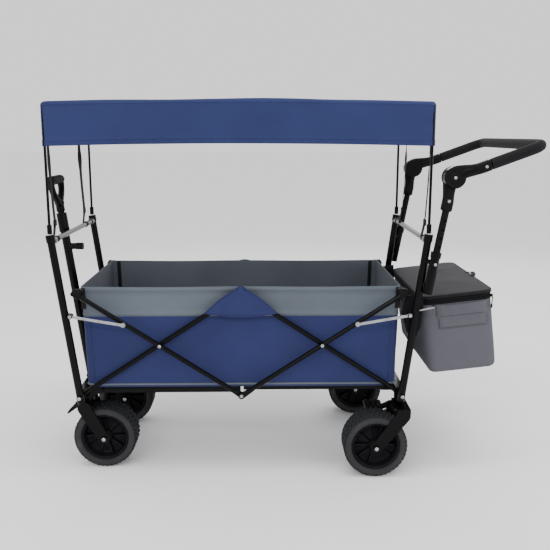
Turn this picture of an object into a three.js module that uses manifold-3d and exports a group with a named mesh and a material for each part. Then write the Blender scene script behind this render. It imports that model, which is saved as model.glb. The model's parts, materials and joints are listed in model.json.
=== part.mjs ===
// Folding camp wagon: a scissor-frame cart with a fabric tub, a canopy, a rear cooler bag,
// an adjustable push handle and a telescoping pull handle. Millimetres, +Z up.
// X runs along the wagon, from the pull handle (front, -X) to the push handle (rear, +X).
// Left pieces lie at -Y and right pieces at +Y. The wheels stand on Z = 0.
import * as THREE from 'three';
import { mergeVertices } from 'three/addons/utils/BufferGeometryUtils.js';
import Module from 'manifold-3d';

const wasm = await Module();
wasm.setup();

// ---------- driving dimensions ----------
const GAP = 0.3;                 // left between pieces that touch
const HALF_SPAN = 470;           // scissor centre to the corner pins
const PIN_Z = 240;               // height of the corner pins
const ARM_RISE = 153;            // corner pin to the middle rivet of a scissor pair
const ARM_R = 7;
const BOSS_R = 9;                // round eyes at the ends of the arms
const RIVET_R = 3;
const HOLE_R = 3.4;
const INNER_LAYER = [229, 243];  // distance from the mid-plane to the arms pinned at the corners
const OUTER_LAYER = [244, 258];  // the same for the arms pinned at the bottom centre

const POST_R = 11;
const POST_Y = 256;
const POST_TOP = [531, 714];     // x and z of the post's upper end
const LINK_PIN_Z = 485;          // the link's pin, on a bracket of the post
const LINK_INSET = 18;           // post's middle line to that pin
const LINK_END = [334.9, 459.3]; // x and z of the link's other end, on the long arm
const BEAM_HALF = [12, 14];      // half size of the end beams along x and z
const BEAM_END_Y = 228;
const CROSSBAR_Z = 698;
const CROSSBAR_R = 7.5;

const WHEEL_R = 94;
const TYRE_HALF_WIDTH = 44;
const FORK_INSIDE = 47;          // mid-plane of a wheel to its fork plates
const FORK_PLATE = 4;
const AXLE_R = 5;
const CASTER_Y = 170;
const CASTER_HUB_X = 415;
const LOCK_PIN = [498, 190];     // x and z of the caster lock's pin
const REAR_WHEEL_Y = 250;
const REAR_HUB_X = 393;

const BASE_PIN_X = 422;
const BASE_Z = 244;
const BASE_BAR = 16;
const BASE_BAR_Y = { front: 200, rear: 180 };

const TUB = { x: 464, xBottom: 456, y: 226, bottom: 256, top: 562, wall: 4 };
const MAT = { x: 440, y: 212, bottom: 261, top: 273 };
const CANOPY = { x: 543, y: 266, bottom: 961, top: 1082, crown: 8, wall: 4 };
const HOOP = { x: 531, y: 256, top: 1072, r: 4, bend: 24 };

const PUSH_Y = 276;
const PUSH_FOOT = [529, 549];    // x and z of the lower end of the push handle's sockets
const PUSH_HINGE = [588, 877];
const PUSH_DISC_R = 30;
const PUSH_BUTTON_Z = 636;
const PUSH_HOLE_STEP = 24;
const BOW_Y = 290.5;
const BOW_SLOPE = THREE.MathUtils.degToRad(20);
const BOW_REACH = 257;           // hinge to the middle of the grip
const BOW_BEND = 42;
const BOW_R = 10.5;
const FOAM_R = 15.5;
const FOAM_START = 106;          // hinge to the end of the foam

const PULL_PIN = [498, 226];
const PULL_TOP = [560, 704];     // upper end of the outer pull tube
const PULL_R = 13;
const KNOB_Z = 647;

const BAG = { corner: [520, 520], tilt: THREE.MathUtils.degToRad(6.3), depth: 210, height: 212, y: 231,
  taper: 12, wall: 4, lid: 12 };

// ---------- materials ----------
const finish = (color, roughness, metalness = 0) => new THREE.MeshStandardMaterial({ color, roughness, metalness });
const BLACK_STEEL = () => finish(0x141416, 0.38, 0.4);
const GREY_STEEL = () => finish(0x77787a, 0.45, 0.6);
const BRIGHT_STEEL = () => finish(0xb9bbbd, 0.3, 0.9);
const BLACK_PLASTIC = () => finish(0x17181a, 0.55);
const RIM_PLASTIC = () => finish(0x1d1d20, 0.6);
const TYRE_RUBBER = () => finish(0x36373a, 0.85);
const FOAM = () => finish(0x161618, 0.9);
const BLUE_FABRIC = () => finish(0x34427a, 0.85);
const NAVY_FABRIC = () => finish(0x3a4b78, 0.85);
const GREY_FABRIC = () => finish(0x707078, 0.85);
const DARK_FABRIC = () => finish(0x4e4e52, 0.85);

// ---------- solids ----------
function solid(geometry) {
  const bare = geometry.clone();
  bare.deleteAttribute('normal');
  bare.deleteAttribute('uv');
  const merged = mergeVertices(bare, 1e-4);
  return new wasm.Manifold(new wasm.Mesh({
    numProp: 3,
    vertProperties: new Float32Array(merged.attributes.position.array),
    triVerts: new Uint32Array(merged.index.array),
  }));
}

function toGeometry(manifold) {
  const { vertProperties, triVerts } = manifold.getMesh();
  const geometry = new THREE.BufferGeometry();
  geometry.setAttribute('position', new THREE.BufferAttribute(new Float32Array(vertProperties), 3));
  geometry.setIndex(new THREE.BufferAttribute(new Uint32Array(triVerts), 1));
  geometry.computeVertexNormals();
  return geometry;
}

const join = (...shapes) => shapes.map(solid).reduce((all, one) => all.add(one));
const cut = (whole, ...tools) => tools.map(solid).reduce((rest, one) => rest.subtract(one), whole);

function rod(from, to, radius, segments = 12) {
  const a = new THREE.Vector3(...from);
  const b = new THREE.Vector3(...to);
  const geometry = new THREE.CylinderGeometry(radius, radius, a.distanceTo(b), segments);
  const turn = new THREE.Quaternion().setFromUnitVectors(new THREE.Vector3(0, 1, 0), b.clone().sub(a).normalize());
  geometry.applyQuaternion(turn);
  const middle = a.add(b).multiplyScalar(0.5);
  return geometry.translate(middle.x, middle.y, middle.z);
}

function box(x, y, z) {
  const size = [x, y, z].map(([low, high]) => Math.abs(high - low));
  const middle = [x, y, z].map(([low, high]) => (low + high) / 2);
  return new THREE.BoxGeometry(...size).translate(...middle);
}

// A pin, eye or disc across the wagon, at (x, z), between two distances from the mid-plane on one side.
const across = (x, z, side, [near, far], radius, segments = 10) =>
  rod([x, side * near, z], [x, side * far, z], radius, segments);

// A flat piece cut from the XZ plane, between two values of y.
function plate(shape, yLow, yHigh, curveSegments = 4) {
  const [low, high] = [Math.min(yLow, yHigh), Math.max(yLow, yHigh)];
  const geometry = new THREE.ExtrudeGeometry(shape, { depth: high - low, bevelEnabled: false, curveSegments });
  return geometry.rotateX(Math.PI / 2).translate(0, high, 0);
}

// The outline of a strap with round ends of two radii, from a to b.
function strapShape(a, b, ra, rb = ra) {
  const angle = Math.atan2(b[1] - a[1], b[0] - a[0]);
  const shape = new THREE.Shape();
  shape.absarc(a[0], a[1], ra, angle + Math.PI / 2, angle + Math.PI * 1.5, false);
  shape.absarc(b[0], b[1], rb, angle - Math.PI / 2, angle + Math.PI / 2, false);
  shape.closePath();
  return shape;
}

function polygon(points) {
  const shape = new THREE.Shape();
  shape.moveTo(...points[0]);
  points.slice(1).forEach((point) => shape.lineTo(...point));
  shape.closePath();
  return shape;
}

// A round tube or wire along straight runs with bends of one radius.
function bentRod(corners, bend, radius, segments = 12, bendSteps = 6) {
  const path = new THREE.CurvePath();
  const points = corners.map((corner) => new THREE.Vector3(...corner));
  let start = points[0];
  for (let i = 1; i < points.length - 1; i += 1) {
    const before = points[i].clone().add(points[i - 1].clone().sub(points[i]).setLength(bend));
    const after = points[i].clone().add(points[i + 1].clone().sub(points[i]).setLength(bend));
    path.add(new THREE.LineCurve3(start, before));
    path.add(new THREE.QuadraticBezierCurve3(before, points[i], after));
    start = after;
  }
  path.add(new THREE.LineCurve3(start, points[points.length - 1]));
  const steps = [0];
  path.curves.forEach((curve, i) => {
    const count = curve.isLineCurve3 ? 1 : bendSteps;
    for (let k = 1; k <= count; k += 1) steps.push(i + k / count);
  });
  const track = new THREE.CatmullRomCurve3(steps.map((s) => curvePoint(path.curves, s)), false, 'chordal');
  return sweep(track.points, radius, segments);
}

function curvePoint(curves, s) {
  const index = Math.min(Math.floor(s), curves.length - 1);
  return curves[index].getPoint(s - index);
}

// A closed tube through a list of points in one plane, built ring by ring.
function sweep(points, radius, segments) {
  const plane = planeNormal(points);
  const positions = [];
  points.forEach((point, i) => {
    const ahead = points[Math.min(i + 1, points.length - 1)];
    const behind = points[Math.max(i - 1, 0)];
    const tangent = ahead.clone().sub(behind).normalize();
    const side = tangent.clone().cross(plane).normalize();
    for (let k = 0; k < segments; k += 1) {
      const angle = (k / segments) * Math.PI * 2;
      const offset = side.clone().multiplyScalar(Math.cos(angle) * radius);
      offset.addScaledVector(plane, Math.sin(angle) * radius);
      positions.push(...point.clone().add(offset).toArray());
    }
  });
  const index = [];
  for (let i = 0; i < points.length - 1; i += 1) {
    for (let k = 0; k < segments; k += 1) {
      const a = i * segments + k;
      const b = i * segments + ((k + 1) % segments);
      index.push(a, a + segments, b, b, a + segments, b + segments);
    }
  }
  const first = positions.length / 3;
  positions.push(...points[0].toArray(), ...points[points.length - 1].toArray());
  const last = (points.length - 1) * segments;
  for (let k = 0; k < segments; k += 1) {
    const next = (k + 1) % segments;
    index.push(first, k, next);
    index.push(first + 1, last + next, last + k);
  }
  const geometry = new THREE.BufferGeometry();
  geometry.setAttribute('position', new THREE.Float32BufferAttribute(positions, 3));
  geometry.setIndex(index);
  return geometry;
}

function planeNormal(points) {
  const along = points[points.length - 1].clone().sub(points[0]);
  for (const point of points) {
    const normal = point.clone().sub(points[0]).cross(along);
    if (normal.length() > 1) return normal.normalize();
  }
  return new THREE.Vector3(0, 1, 0).cross(along).normalize();
}

const wagon = new THREE.Group();

function add(name, shape, material) {
  const geometry = shape.isBufferGeometry ? toGeometry(solid(shape)) : toGeometry(shape);
  const mesh = new THREE.Mesh(geometry, material);
  mesh.name = name;
  wagon.add(mesh);
}

const SIDES = [['left', -1], ['right', 1]];
const ENDS = [['front', -1], ['rear', 1]];
const postX = (z) => HALF_SPAN + ((z - PIN_Z) / (POST_TOP[1] - PIN_Z)) * (POST_TOP[0] - HALF_SPAN);

const linkPinPoint = (end) => [end * (postX(LINK_PIN_Z) - LINK_INSET), LINK_PIN_Z];

// ---------- end frames ----------
function endBeam(name, end) {
  const x = end * HALF_SPAN;
  const [halfX, halfZ] = BEAM_HALF;
  const parts = [box([x - halfX, x + halfX], [-BEAM_END_Y, BEAM_END_Y], [PIN_Z - halfZ, PIN_Z + halfZ])];
  const earY = BASE_BAR_Y[name] + BASE_BAR / 2 + 1;
  for (const side of [-1, 1]) {
    const ear = strapShape([x - end * 4, BASE_Z], [end * BASE_PIN_X, BASE_Z], 10);
    parts.push(plate(ear, side * earY, side * (earY + 4)));
    parts.push(across(end * BASE_PIN_X, BASE_Z, side, [BASE_BAR_Y[name] - 5, earY + 5], 3.5));
  }
  if (end < 0) parts.push(...casterPads(), ...pullEars());
  const pinHoles = [-1, 1].map((side) => across(x, PIN_Z, side, [BEAM_END_Y - 20, BEAM_END_Y + 2], 4.4));
  add(`${name}_beam`, cut(join(...parts), ...pinHoles), BLACK_STEEL());
}

function casterPads() {
  return [-1, 1].map((side) => {
    const y = side * CASTER_Y;
    return box([-HALF_SPAN - 28, -HALF_SPAN + 28], [y - 26, y + 26], [PIN_Z - 21, PIN_Z - BEAM_HALF[1] + 1]);
  });
}

function pullEars() {
  const [x, z] = PULL_PIN;
  const ears = [-1, 1].map((side) => plate(strapShape([-x + 14, z + 4], [-x, z], 11), side * 15, side * 19));
  return [...ears, rod([-x, -23, z], [-x, 23, z], 4)];
}

function post(name, end, side) {
  const foot = PIN_Z - 16;
  const tube = rod([end * postX(foot), side * POST_Y, foot], [end * POST_TOP[0], side * POST_Y, POST_TOP[1]], POST_R, 16);
  const capFoot = POST_TOP[1] - 18;
  const cap = rod([end * postX(capFoot), side * POST_Y, capFoot],
    [end * postX(POST_TOP[1] + 3), side * POST_Y, POST_TOP[1] + 3], POST_R + 2, 16);
  const cornerPin = across(end * HALF_SPAN, PIN_Z, side, [BEAM_END_Y - 12, POST_Y], 4);
  const cornerHead = across(end * HALF_SPAN, PIN_Z, side, [POST_Y, POST_Y + 16], 8);
  const pin = linkPinPoint(end);
  const bracketShape = strapShape([end * postX(LINK_PIN_Z), LINK_PIN_Z], pin, 8);
  const bracket = plate(bracketShape, side * (POST_Y + 3), side * (POST_Y + 9));
  const linkPin = across(...pin, side, [POST_Y + 4, POST_Y + 17], RIVET_R);
  const linkHead = across(...pin, side, [POST_Y + 16, POST_Y + 19], 6.5);
  add(name, join(tube, cap, cornerPin, cornerHead, bracket, linkPin, linkHead), BLACK_STEEL());
}

function crossbar(name, end) {
  const x = end * postX(CROSSBAR_Z);
  const reach = POST_Y - POST_R - 2 - GAP;
  const bar = rod([x, -reach + 4, CROSSBAR_Z], [x, reach - 4, CROSSBAR_Z], CROSSBAR_R, 14);
  const fittings = [-1, 1].map((side) => across(x, CROSSBAR_Z, side, [reach - 24, reach - 1], 10.5));
  add(name, join(bar, ...fittings), GREY_STEEL());
}

function canopyHoop(name, end) {
  const x = end * HOOP.x;
  const foot = POST_TOP[1] + 5 + GAP;
  const corners = [[x, -HOOP.y, foot], [x, -HOOP.y, HOOP.top], [x, HOOP.y, HOOP.top], [x, HOOP.y, foot]];
  const sockets = [-1, 1].map((side) => rod([x, side * HOOP.y, foot], [x, side * HOOP.y, foot + 26], 7));
  add(name, join(bentRod(corners, HOOP.bend, HOOP.r, 8, 4), ...sockets), BLACK_STEEL());
}

// ---------- scissor frame ----------
// Each arm runs between two eyes. Its tube fills its layer, and where two arms meet at the
// centre each eye takes half of the layer.
function arm(name, side, layer, outerEnd, centreEnd, eyeHalf, extras, holes, material) {
  const [near, far] = layer;
  const middle = side * (near + far) / 2;
  const a = new THREE.Vector2(...outerEnd);
  const b = new THREE.Vector2(...centreEnd);
  const along = b.clone().sub(a).normalize();
  const from = a.clone().addScaledVector(along, 4);
  const to = b.clone().addScaledVector(along, -25);
  const neckStart = b.clone().addScaledVector(along, -38);
  const tube = rod([from.x, middle, from.y], [to.x, middle, to.y], ARM_R, 14);
  const eye = across(...outerEnd, side, layer, BOSS_R, 12);
  const neck = plate(strapShape(neckStart.toArray(), centreEnd, ARM_R - 1, BOSS_R), side * eyeHalf[0], side * eyeHalf[1]);
  add(name, cut(join(tube, eye, neck, ...extras), ...holes), material);
}

function scissorArms() {
  const span = HALF_SPAN;
  const low = PIN_Z;
  const high = PIN_Z + 2 * ARM_RISE;
  const middleZ = PIN_Z + ARM_RISE;
  const half = span / 2;
  const innerSplit = (INNER_LAYER[0] + INNER_LAYER[1]) / 2;
  const outerSplit = (OUTER_LAYER[0] + OUTER_LAYER[1]) / 2;
  for (const [sideName, side] of SIDES) {
    for (const [endName, end] of ENDS) {
      const pinHole = (x, z) => across(x, z, side, [INNER_LAYER[0] - 2, OUTER_LAYER[1] + 2], HOLE_R);
      const cornerHole = across(end * span, low, side, [INNER_LAYER[0] - 2, INNER_LAYER[1] + 2], 4.4);
      const topOuter = [innerSplit + 0.2, INNER_LAYER[1]];
      const topInner = [INNER_LAYER[0], innerSplit - 0.2];
      const topRivet = across(0, high, side, [INNER_LAYER[0], innerSplit + 2], RIVET_R);
      arm(`${endName}_lower_arm_${sideName}`, side, INNER_LAYER, [end * span, low], [0, high],
        end > 0 ? topOuter : topInner, end > 0 ? [topRivet] : [],
        end > 0 ? [pinHole(end * half, middleZ), cornerHole] : [pinHole(end * half, middleZ), pinHole(0, high), cornerHole],
        BLACK_STEEL());
      const bottomOuter = [outerSplit + 0.2, OUTER_LAYER[1]];
      const bottomInner = [OUTER_LAYER[0], outerSplit - 0.2];
      const bottomRivet = across(0, low, side, [OUTER_LAYER[0], outerSplit + 2], RIVET_R);
      const middleRivet = across(end * half, middleZ, side, [INNER_LAYER[0], OUTER_LAYER[0] + 4], RIVET_R);
      const middleHead = across(end * half, middleZ, side, [OUTER_LAYER[1] - 4, OUTER_LAYER[1] + 2], 6.5);
      arm(`${endName}_upper_arm_${sideName}`, side, OUTER_LAYER, [end * span, high], [0, low],
        end > 0 ? bottomOuter : bottomInner,
        end > 0 ? [bottomRivet, middleRivet, middleHead] : [middleRivet, middleHead],
        end > 0 ? [] : [pinHole(0, low)], BLACK_STEEL());
    }
  }
}

function link(name, end, side) {
  const pin = linkPinPoint(end);
  const far = [end * LINK_END[0], LINK_END[1]];
  const layer = [POST_Y + 12.5, POST_Y + 15.5];
  const bar = plate(strapShape(pin, far, 4), side * layer[0], side * layer[1]);
  const eyes = [pin, far].map((place) => across(...place, side, layer, 7));
  const boss = across(...far, side, [OUTER_LAYER[1] + 0.5, POST_Y + 14], 6.5);
  const hole = across(...pin, side, [POST_Y + 10, POST_Y + 18], HOLE_R);
  add(name, cut(join(bar, ...eyes, boss), hole), BRIGHT_STEEL());
}

// ---------- folding base ----------
function baseFrame(name, end) {
  const barY = BASE_BAR_Y[name];
  const half = BASE_BAR / 2;
  const outer = end * (BASE_PIN_X + 6);
  const inner = end * 4;
  const parts = [];
  for (const side of [-1, 1]) {
    const y = side * barY;
    parts.push(box([inner, outer], [y - half, y + half], [BASE_Z - half, BASE_Z + half]));
  }
  for (const x of [130, 270, 410]) {
    parts.push(box([end * (x - 12), end * (x + 12)], [-barY, barY], [BASE_Z, BASE_Z + half]));
  }
  const holes = [-1, 1].map((side) => across(end * BASE_PIN_X, BASE_Z, side, [barY - 14, barY + 14], 3.9));
  add(`base_${name}`, cut(join(...parts), ...holes), BLACK_STEEL());
}

// ---------- wheels ----------
function forkParts(swivel, hub, y, crown) {
  const [headX, headZ] = swivel;
  const parts = [];
  for (const face of [-1, 1]) {
    const near = y + face * FORK_INSIDE;
    const far = y + face * (FORK_INSIDE + FORK_PLATE);
    parts.push(plate(strapShape([headX, headZ], hub, 20, 16), near, far));
    parts.push(rod([hub[0], far - face, hub[1]], [hub[0], far + face * 5, hub[1]], 9, 10));
  }
  const reach = FORK_INSIDE + FORK_PLATE;
  parts.push(box([headX - 20, headX + 20], [y - reach, y + reach], crown));
  parts.push(rod([hub[0], y - reach, hub[1]], [hub[0], y + reach, hub[1]], AXLE_R, 10));
  return parts;
}

function caster(name, side) {
  const y = side * CASTER_Y;
  const headTop = PIN_Z - 21 - GAP;
  const head = rod([-HALF_SPAN, y, headTop - 22], [-HALF_SPAN, y, headTop], 21, 16);
  const parts = forkParts([-HALF_SPAN, 190], [-CASTER_HUB_X, WHEEL_R], y, [190, 200]);
  const lockPin = rod([-LOCK_PIN[0], y - 16, LOCK_PIN[1]], [-LOCK_PIN[0], y + 16, LOCK_PIN[1]], 3);
  const bracket = [-1, 1].map((face) => box([-LOCK_PIN[0] - 5, -HALF_SPAN - 18], [y + face * 15.5, y + face * 20],
    [LOCK_PIN[1] - 5, 200]));
  add(name, join(head, ...parts, lockPin, ...bracket), BLACK_STEEL());
}

function casterLock(name, side) {
  const y = side * CASTER_Y;
  const lever = plate(strapShape([-LOCK_PIN[0], LOCK_PIN[1]], [-LOCK_PIN[0] - 30, LOCK_PIN[1] - 26], 6.5, 3), y - 15, y + 15);
  const hole = rod([-LOCK_PIN[0], y - 20, LOCK_PIN[1]], [-LOCK_PIN[0], y + 20, LOCK_PIN[1]], 3.5);
  add(name, cut(solid(lever), hole), BLACK_PLASTIC());
}

function rearFork(name, side) {
  const y = side * REAR_WHEEL_Y;
  const parts = forkParts([HALF_SPAN, 192], [REAR_HUB_X, WHEEL_R], y, [196, 212]);
  const riser = box([HALF_SPAN - 12, HALF_SPAN + 12], [side * 196, side * 227], [210, PIN_Z - BEAM_HALF[1] - GAP]);
  const innerFace = REAR_WHEEL_Y - FORK_INSIDE - FORK_PLATE;
  const pedalPin = across(HALF_SPAN - 22, 192, side, [innerFace - 18, innerFace + 1], 3.5);
  add(name, join(...parts, riser, pedalPin), BLACK_STEEL());
}

function brakePedal(name, side) {
  const x = HALF_SPAN - 22;
  const outer = REAR_WHEEL_Y - FORK_INSIDE - FORK_PLATE - 1;
  const cheek = plate(strapShape([x, 192], [x - 30, 180], 9, 6), side * (outer - 10), side * outer);
  const pad = box([x - 74, x - 22], [side * (outer - 66), side * outer], [173, 181]);
  const ribs = [-66, -52, -38].map((dx) => box([x + dx, x + dx + 4], [side * (outer - 64), side * (outer - 2)], [180, 184]));
  const hole = across(x, 192, side, [outer - 20, outer + 2], 4);
  add(name, cut(join(cheek, pad, ...ribs), hole), BLACK_PLASTIC());
}

function lathe(profile, x, y, segments) {
  const points = profile.map(([radius, height]) => new THREE.Vector2(radius, height));
  return new THREE.LatheGeometry([...points, points[0]], segments).translate(x, y, WHEEL_R);
}

function wheel(place, x, y) {
  const edge = TYRE_HALF_WIDTH;
  const tyre = [[71, -36], [82, -edge], [WHEEL_R - 3, -edge + 4], [WHEEL_R, -edge + 14],
    [WHEEL_R, edge - 14], [WHEEL_R - 3, edge - 4], [82, edge], [71, 36]];
  const rim = [[AXLE_R + 0.6, -42], [17, -42], [19, -12], [60, -9], [63, -35], [69.7, -35],
    [69.7, 35], [63, 35], [60, 9], [19, 12], [17, 42], [AXLE_R + 0.6, 42]];
  add(`tyre_${place}`, lathe(tyre, x, y, 28), TYRE_RUBBER());
  add(`rim_${place}`, lathe(rim, x, y, 16), RIM_PLASTIC());
}

// ---------- soft goods ----------
function tub() {
  const { x, xBottom, y, bottom, top, wall } = TUB;
  const outer = plate(polygon([[-xBottom, bottom], [xBottom, bottom], [x, top], [-x, top]]), -y, y);
  const inner = plate(polygon([[-xBottom + wall, bottom + wall], [xBottom - wall, bottom + wall],
    [x - wall, top + 1], [-x + wall, top + 1]]), -y + wall, y - wall);
  add('tub', cut(solid(outer), inner), BLUE_FABRIC());
}

function floorMat() {
  const pad = box([-MAT.x, MAT.x], [-MAT.y, MAT.y], [MAT.bottom, MAT.top]);
  const creases = [-0.5, 0, 0.5].map((share) => {
    const x = share * MAT.x;
    return box([x - 4, x + 4], [-MAT.y - 1, MAT.y + 1], [MAT.bottom + 4, MAT.top + 1]);
  });
  add('floor_mat', cut(solid(pad), ...creases), DARK_FABRIC());
}

function canopy() {
  const { x, y, bottom, top, crown, wall } = CANOPY;
  const outline = (inset, drop) => {
    const shape = new THREE.Shape();
    shape.moveTo(-x + inset, bottom - drop);
    shape.lineTo(x - inset, bottom - drop);
    shape.lineTo(x - inset, top - inset);
    shape.quadraticCurveTo(0, top + 2 * crown - inset, -x + inset, top - inset);
    shape.closePath();
    return shape;
  };
  const outer = plate(outline(0, 0), -y, y, 10);
  const inner = plate(outline(wall, 1), -y + wall, y - wall, 10);
  add('canopy', cut(solid(outer), inner), NAVY_FABRIC());
}

// The bag's own axes: out runs away from the wagon along the lid, down runs along the sides.
function bagPoint(out, down) {
  const { corner, tilt } = BAG;
  return [corner[0] + out * Math.cos(tilt) + down * Math.sin(tilt),
    corner[1] + out * Math.sin(tilt) - down * Math.cos(tilt)];
}

function coolerBag() {
  const { depth, height, y, taper, wall, lid } = BAG;
  const outer = plate(polygon([bagPoint(0, 0), bagPoint(taper, height), bagPoint(depth - taper, height),
    bagPoint(depth, 0)]), -y, y);
  const inner = plate(polygon([bagPoint(wall, -1), bagPoint(taper + wall, height - wall),
    bagPoint(depth - taper - wall, height - wall), bagPoint(depth - wall, -1)]), -y + wall, y - wall);
  add('bag_body', cut(solid(outer), inner), GREY_FABRIC());
  const cover = plate(polygon([bagPoint(0, -0.5), bagPoint(depth + 3, -0.5), bagPoint(depth + 3, -lid),
    bagPoint(0, -lid)]), -y - 3, y + 3);
  add('bag_lid', cover, DARK_FABRIC());
}

// ---------- push handle ----------
const pushLine = (z) => PUSH_FOOT[0] + ((z - PUSH_FOOT[1]) / (PUSH_HINGE[1] - PUSH_FOOT[1])) * (PUSH_HINGE[0] - PUSH_FOOT[0]);
const pushPoint = (side, z, y = PUSH_Y) => [pushLine(z), side * y, z];
const bowPoint = (side, reach) => [PUSH_HINGE[0] + reach * Math.cos(BOW_SLOPE), side * BOW_Y,
  PUSH_HINGE[1] + reach * Math.sin(BOW_SLOPE)];

const pushButtonRod = (side, near, far, radius) => across(pushLine(PUSH_BUTTON_Z), PUSH_BUTTON_Z, side,
  [PUSH_Y + near, PUSH_Y + far], radius, 12);

function pushSocket(name, side) {
  const [foot, top] = [PUSH_FOOT[1], 669];
  const tube = rod(pushPoint(side, foot), pushPoint(side, top), 13, 16);
  const collar = rod(pushPoint(side, top - 16), pushPoint(side, top), 15, 16);
  const clamps = [575, 640].map((z) => rod([postX(z), side * POST_Y, z], pushPoint(side, z), 7));
  const buttonBoss = pushButtonRod(side, 0, 15, 8);
  const bore = rod(pushPoint(side, foot - 5), pushPoint(side, top + 5), 10.9, 14);
  const postRoom = rod([postX(500), side * POST_Y, 500], [postX(700), side * POST_Y, 700], POST_R + GAP + 0.3, 16);
  const buttonHole = pushButtonRod(side, 0, 20, 5);
  add(name, cut(join(tube, collar, ...clamps, buttonBoss), bore, postRoom, buttonHole), BLACK_STEEL());
}

function pushButton(name, side) {
  add(name, pushButtonRod(side, 11.6, 19, 4.5), BRIGHT_STEEL());
}

function pushLeg(name, side) {
  const tube = rod(pushPoint(side, 622), pushPoint(side, 800), 10.2, 14);
  const sleeve = rod(pushPoint(side, 784), pushPoint(side, 852), 13.5, 16);
  const disc = across(...PUSH_HINGE, side, [262, 281], PUSH_DISC_R, 24);
  const holes = [0, 1, 2, 3, 4, 5].map((k) => PUSH_BUTTON_Z + k * PUSH_HOLE_STEP).map((z) =>
    rod([pushLine(z), side * (PUSH_Y + 5), z], [pushLine(z), side * (PUSH_Y + 16), z], 5, 10));
  const boltHole = across(...PUSH_HINGE, side, [260, 283], 6.4);
  const bowRoom = across(...PUSH_HINGE, side, [281, 304], PUSH_DISC_R + 1, 24);
  add(name, cut(join(tube, sleeve, disc), ...holes, boltHole, bowRoom), BLACK_PLASTIC());
}

function pushBow() {
  const corners = [bowPoint(-1, 20), bowPoint(-1, BOW_REACH), bowPoint(1, BOW_REACH), bowPoint(1, 20)];
  const parts = [bentRod(corners, BOW_BEND, BOW_R, 12, 5)];
  for (const side of [-1, 1]) {
    parts.push(across(...PUSH_HINGE, side, [281 + GAP, 300], PUSH_DISC_R, 24));
    parts.push(across(...PUSH_HINGE, side, [264, 300], 6));
    parts.push(rod(bowPoint(side, 20), bowPoint(side, FOAM_START - 2), 13, 14));
  }
  const legRoom = [-1, 1].map((side) => across(...PUSH_HINGE, side, [250, 281 + GAP / 2], PUSH_DISC_R + 4, 12));
  const bolts = [-1, 1].map((side) => solid(across(...PUSH_HINGE, side, [264, 290], 6)));
  const bow = cut(join(...parts), ...legRoom);
  add('push_bow', bolts.reduce((all, one) => all.add(one), bow), BLACK_STEEL());
}

function pushGrip() {
  const corners = [FOAM_START, BOW_REACH].map((reach) => bowPoint(-1, reach));
  corners.push(...[BOW_REACH, FOAM_START].map((reach) => bowPoint(1, reach)));
  const open = [...corners];
  open[0] = bowPoint(-1, FOAM_START - 10);
  open[3] = bowPoint(1, FOAM_START - 10);
  const foam = bentRod(corners, BOW_BEND, FOAM_R, 14, 5);
  const core = bentRod(open, BOW_BEND, BOW_R + GAP, 12, 5);
  add('push_grip', cut(solid(foam), core), FOAM());
}

// ---------- pull handle ----------
const pullLine = (z) => -PULL_PIN[0] - ((z - PULL_PIN[1]) / (PULL_TOP[1] - PULL_PIN[1])) * (PULL_TOP[0] - PULL_PIN[0]);
const pullPoint = (z, y = 0) => [pullLine(z), y, z];

function pullHandle() {
  const outer = rod(pullPoint(PULL_PIN[1] - 8), pullPoint(PULL_TOP[1]), PULL_R, 16);
  const collar = rod(pullPoint(PULL_TOP[1] - 10), pullPoint(PULL_TOP[1] + 48), PULL_R + 3, 16);
  const boss = rod(pullPoint(KNOB_Z), [pullLine(KNOB_Z) + 28, 0, KNOB_Z], 10);
  const bore = rod(pullPoint(300), pullPoint(PULL_TOP[1] + 60), 10.9, 14);
  const pinHole = rod([pullLine(PULL_PIN[1]), -30, PULL_PIN[1]], [pullLine(PULL_PIN[1]), 30, PULL_PIN[1]], 4.4);
  const plungerHole = rod([pullLine(KNOB_Z) + 12, 0, KNOB_Z], [pullLine(KNOB_Z) + 40, 0, KNOB_Z], 4.6);
  add('pull_tube_outer', cut(join(outer, collar, boss), bore, pinHole, plungerHole), BLACK_STEEL());

  const neckZ = PULL_TOP[1] + 52;
  add('pull_tube_inner', rod(pullPoint(330), pullPoint(neckZ), 10.2, 14), BLACK_STEEL());

  const [width, shoulderZ, gripZ] = [50, neckZ + 56, neckZ + 98];
  const yoke = [rod(pullPoint(neckZ + GAP), pullPoint(neckZ + 24), 12, 14)];
  for (const side of [-1, 1]) {
    yoke.push(rod(pullPoint(neckZ + 16, side * 4), pullPoint(shoulderZ, side * width), 9));
    yoke.push(rod(pullPoint(shoulderZ - 3, side * (width - 1)), pullPoint(gripZ, side * (width + 4)), 9));
    yoke.push(new THREE.SphereGeometry(9, 10, 6).translate(...pullPoint(shoulderZ, side * width)));
  }
  yoke.push(rod(pullPoint(gripZ, -width - 14), pullPoint(gripZ, width + 14), 12.5, 14));
  add('pull_grip', join(...yoke), BLACK_PLASTIC());

  const plunger = rod([pullLine(KNOB_Z) + 14, 0, KNOB_Z], [pullLine(KNOB_Z) + 36, 0, KNOB_Z], 4);
  const knob = rod([pullLine(KNOB_Z) + 28 + GAP, 0, KNOB_Z], [pullLine(KNOB_Z) + 50, 0, KNOB_Z], 11, 14);
  add('pull_knob', join(plunger, knob), BLACK_PLASTIC());
}

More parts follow.
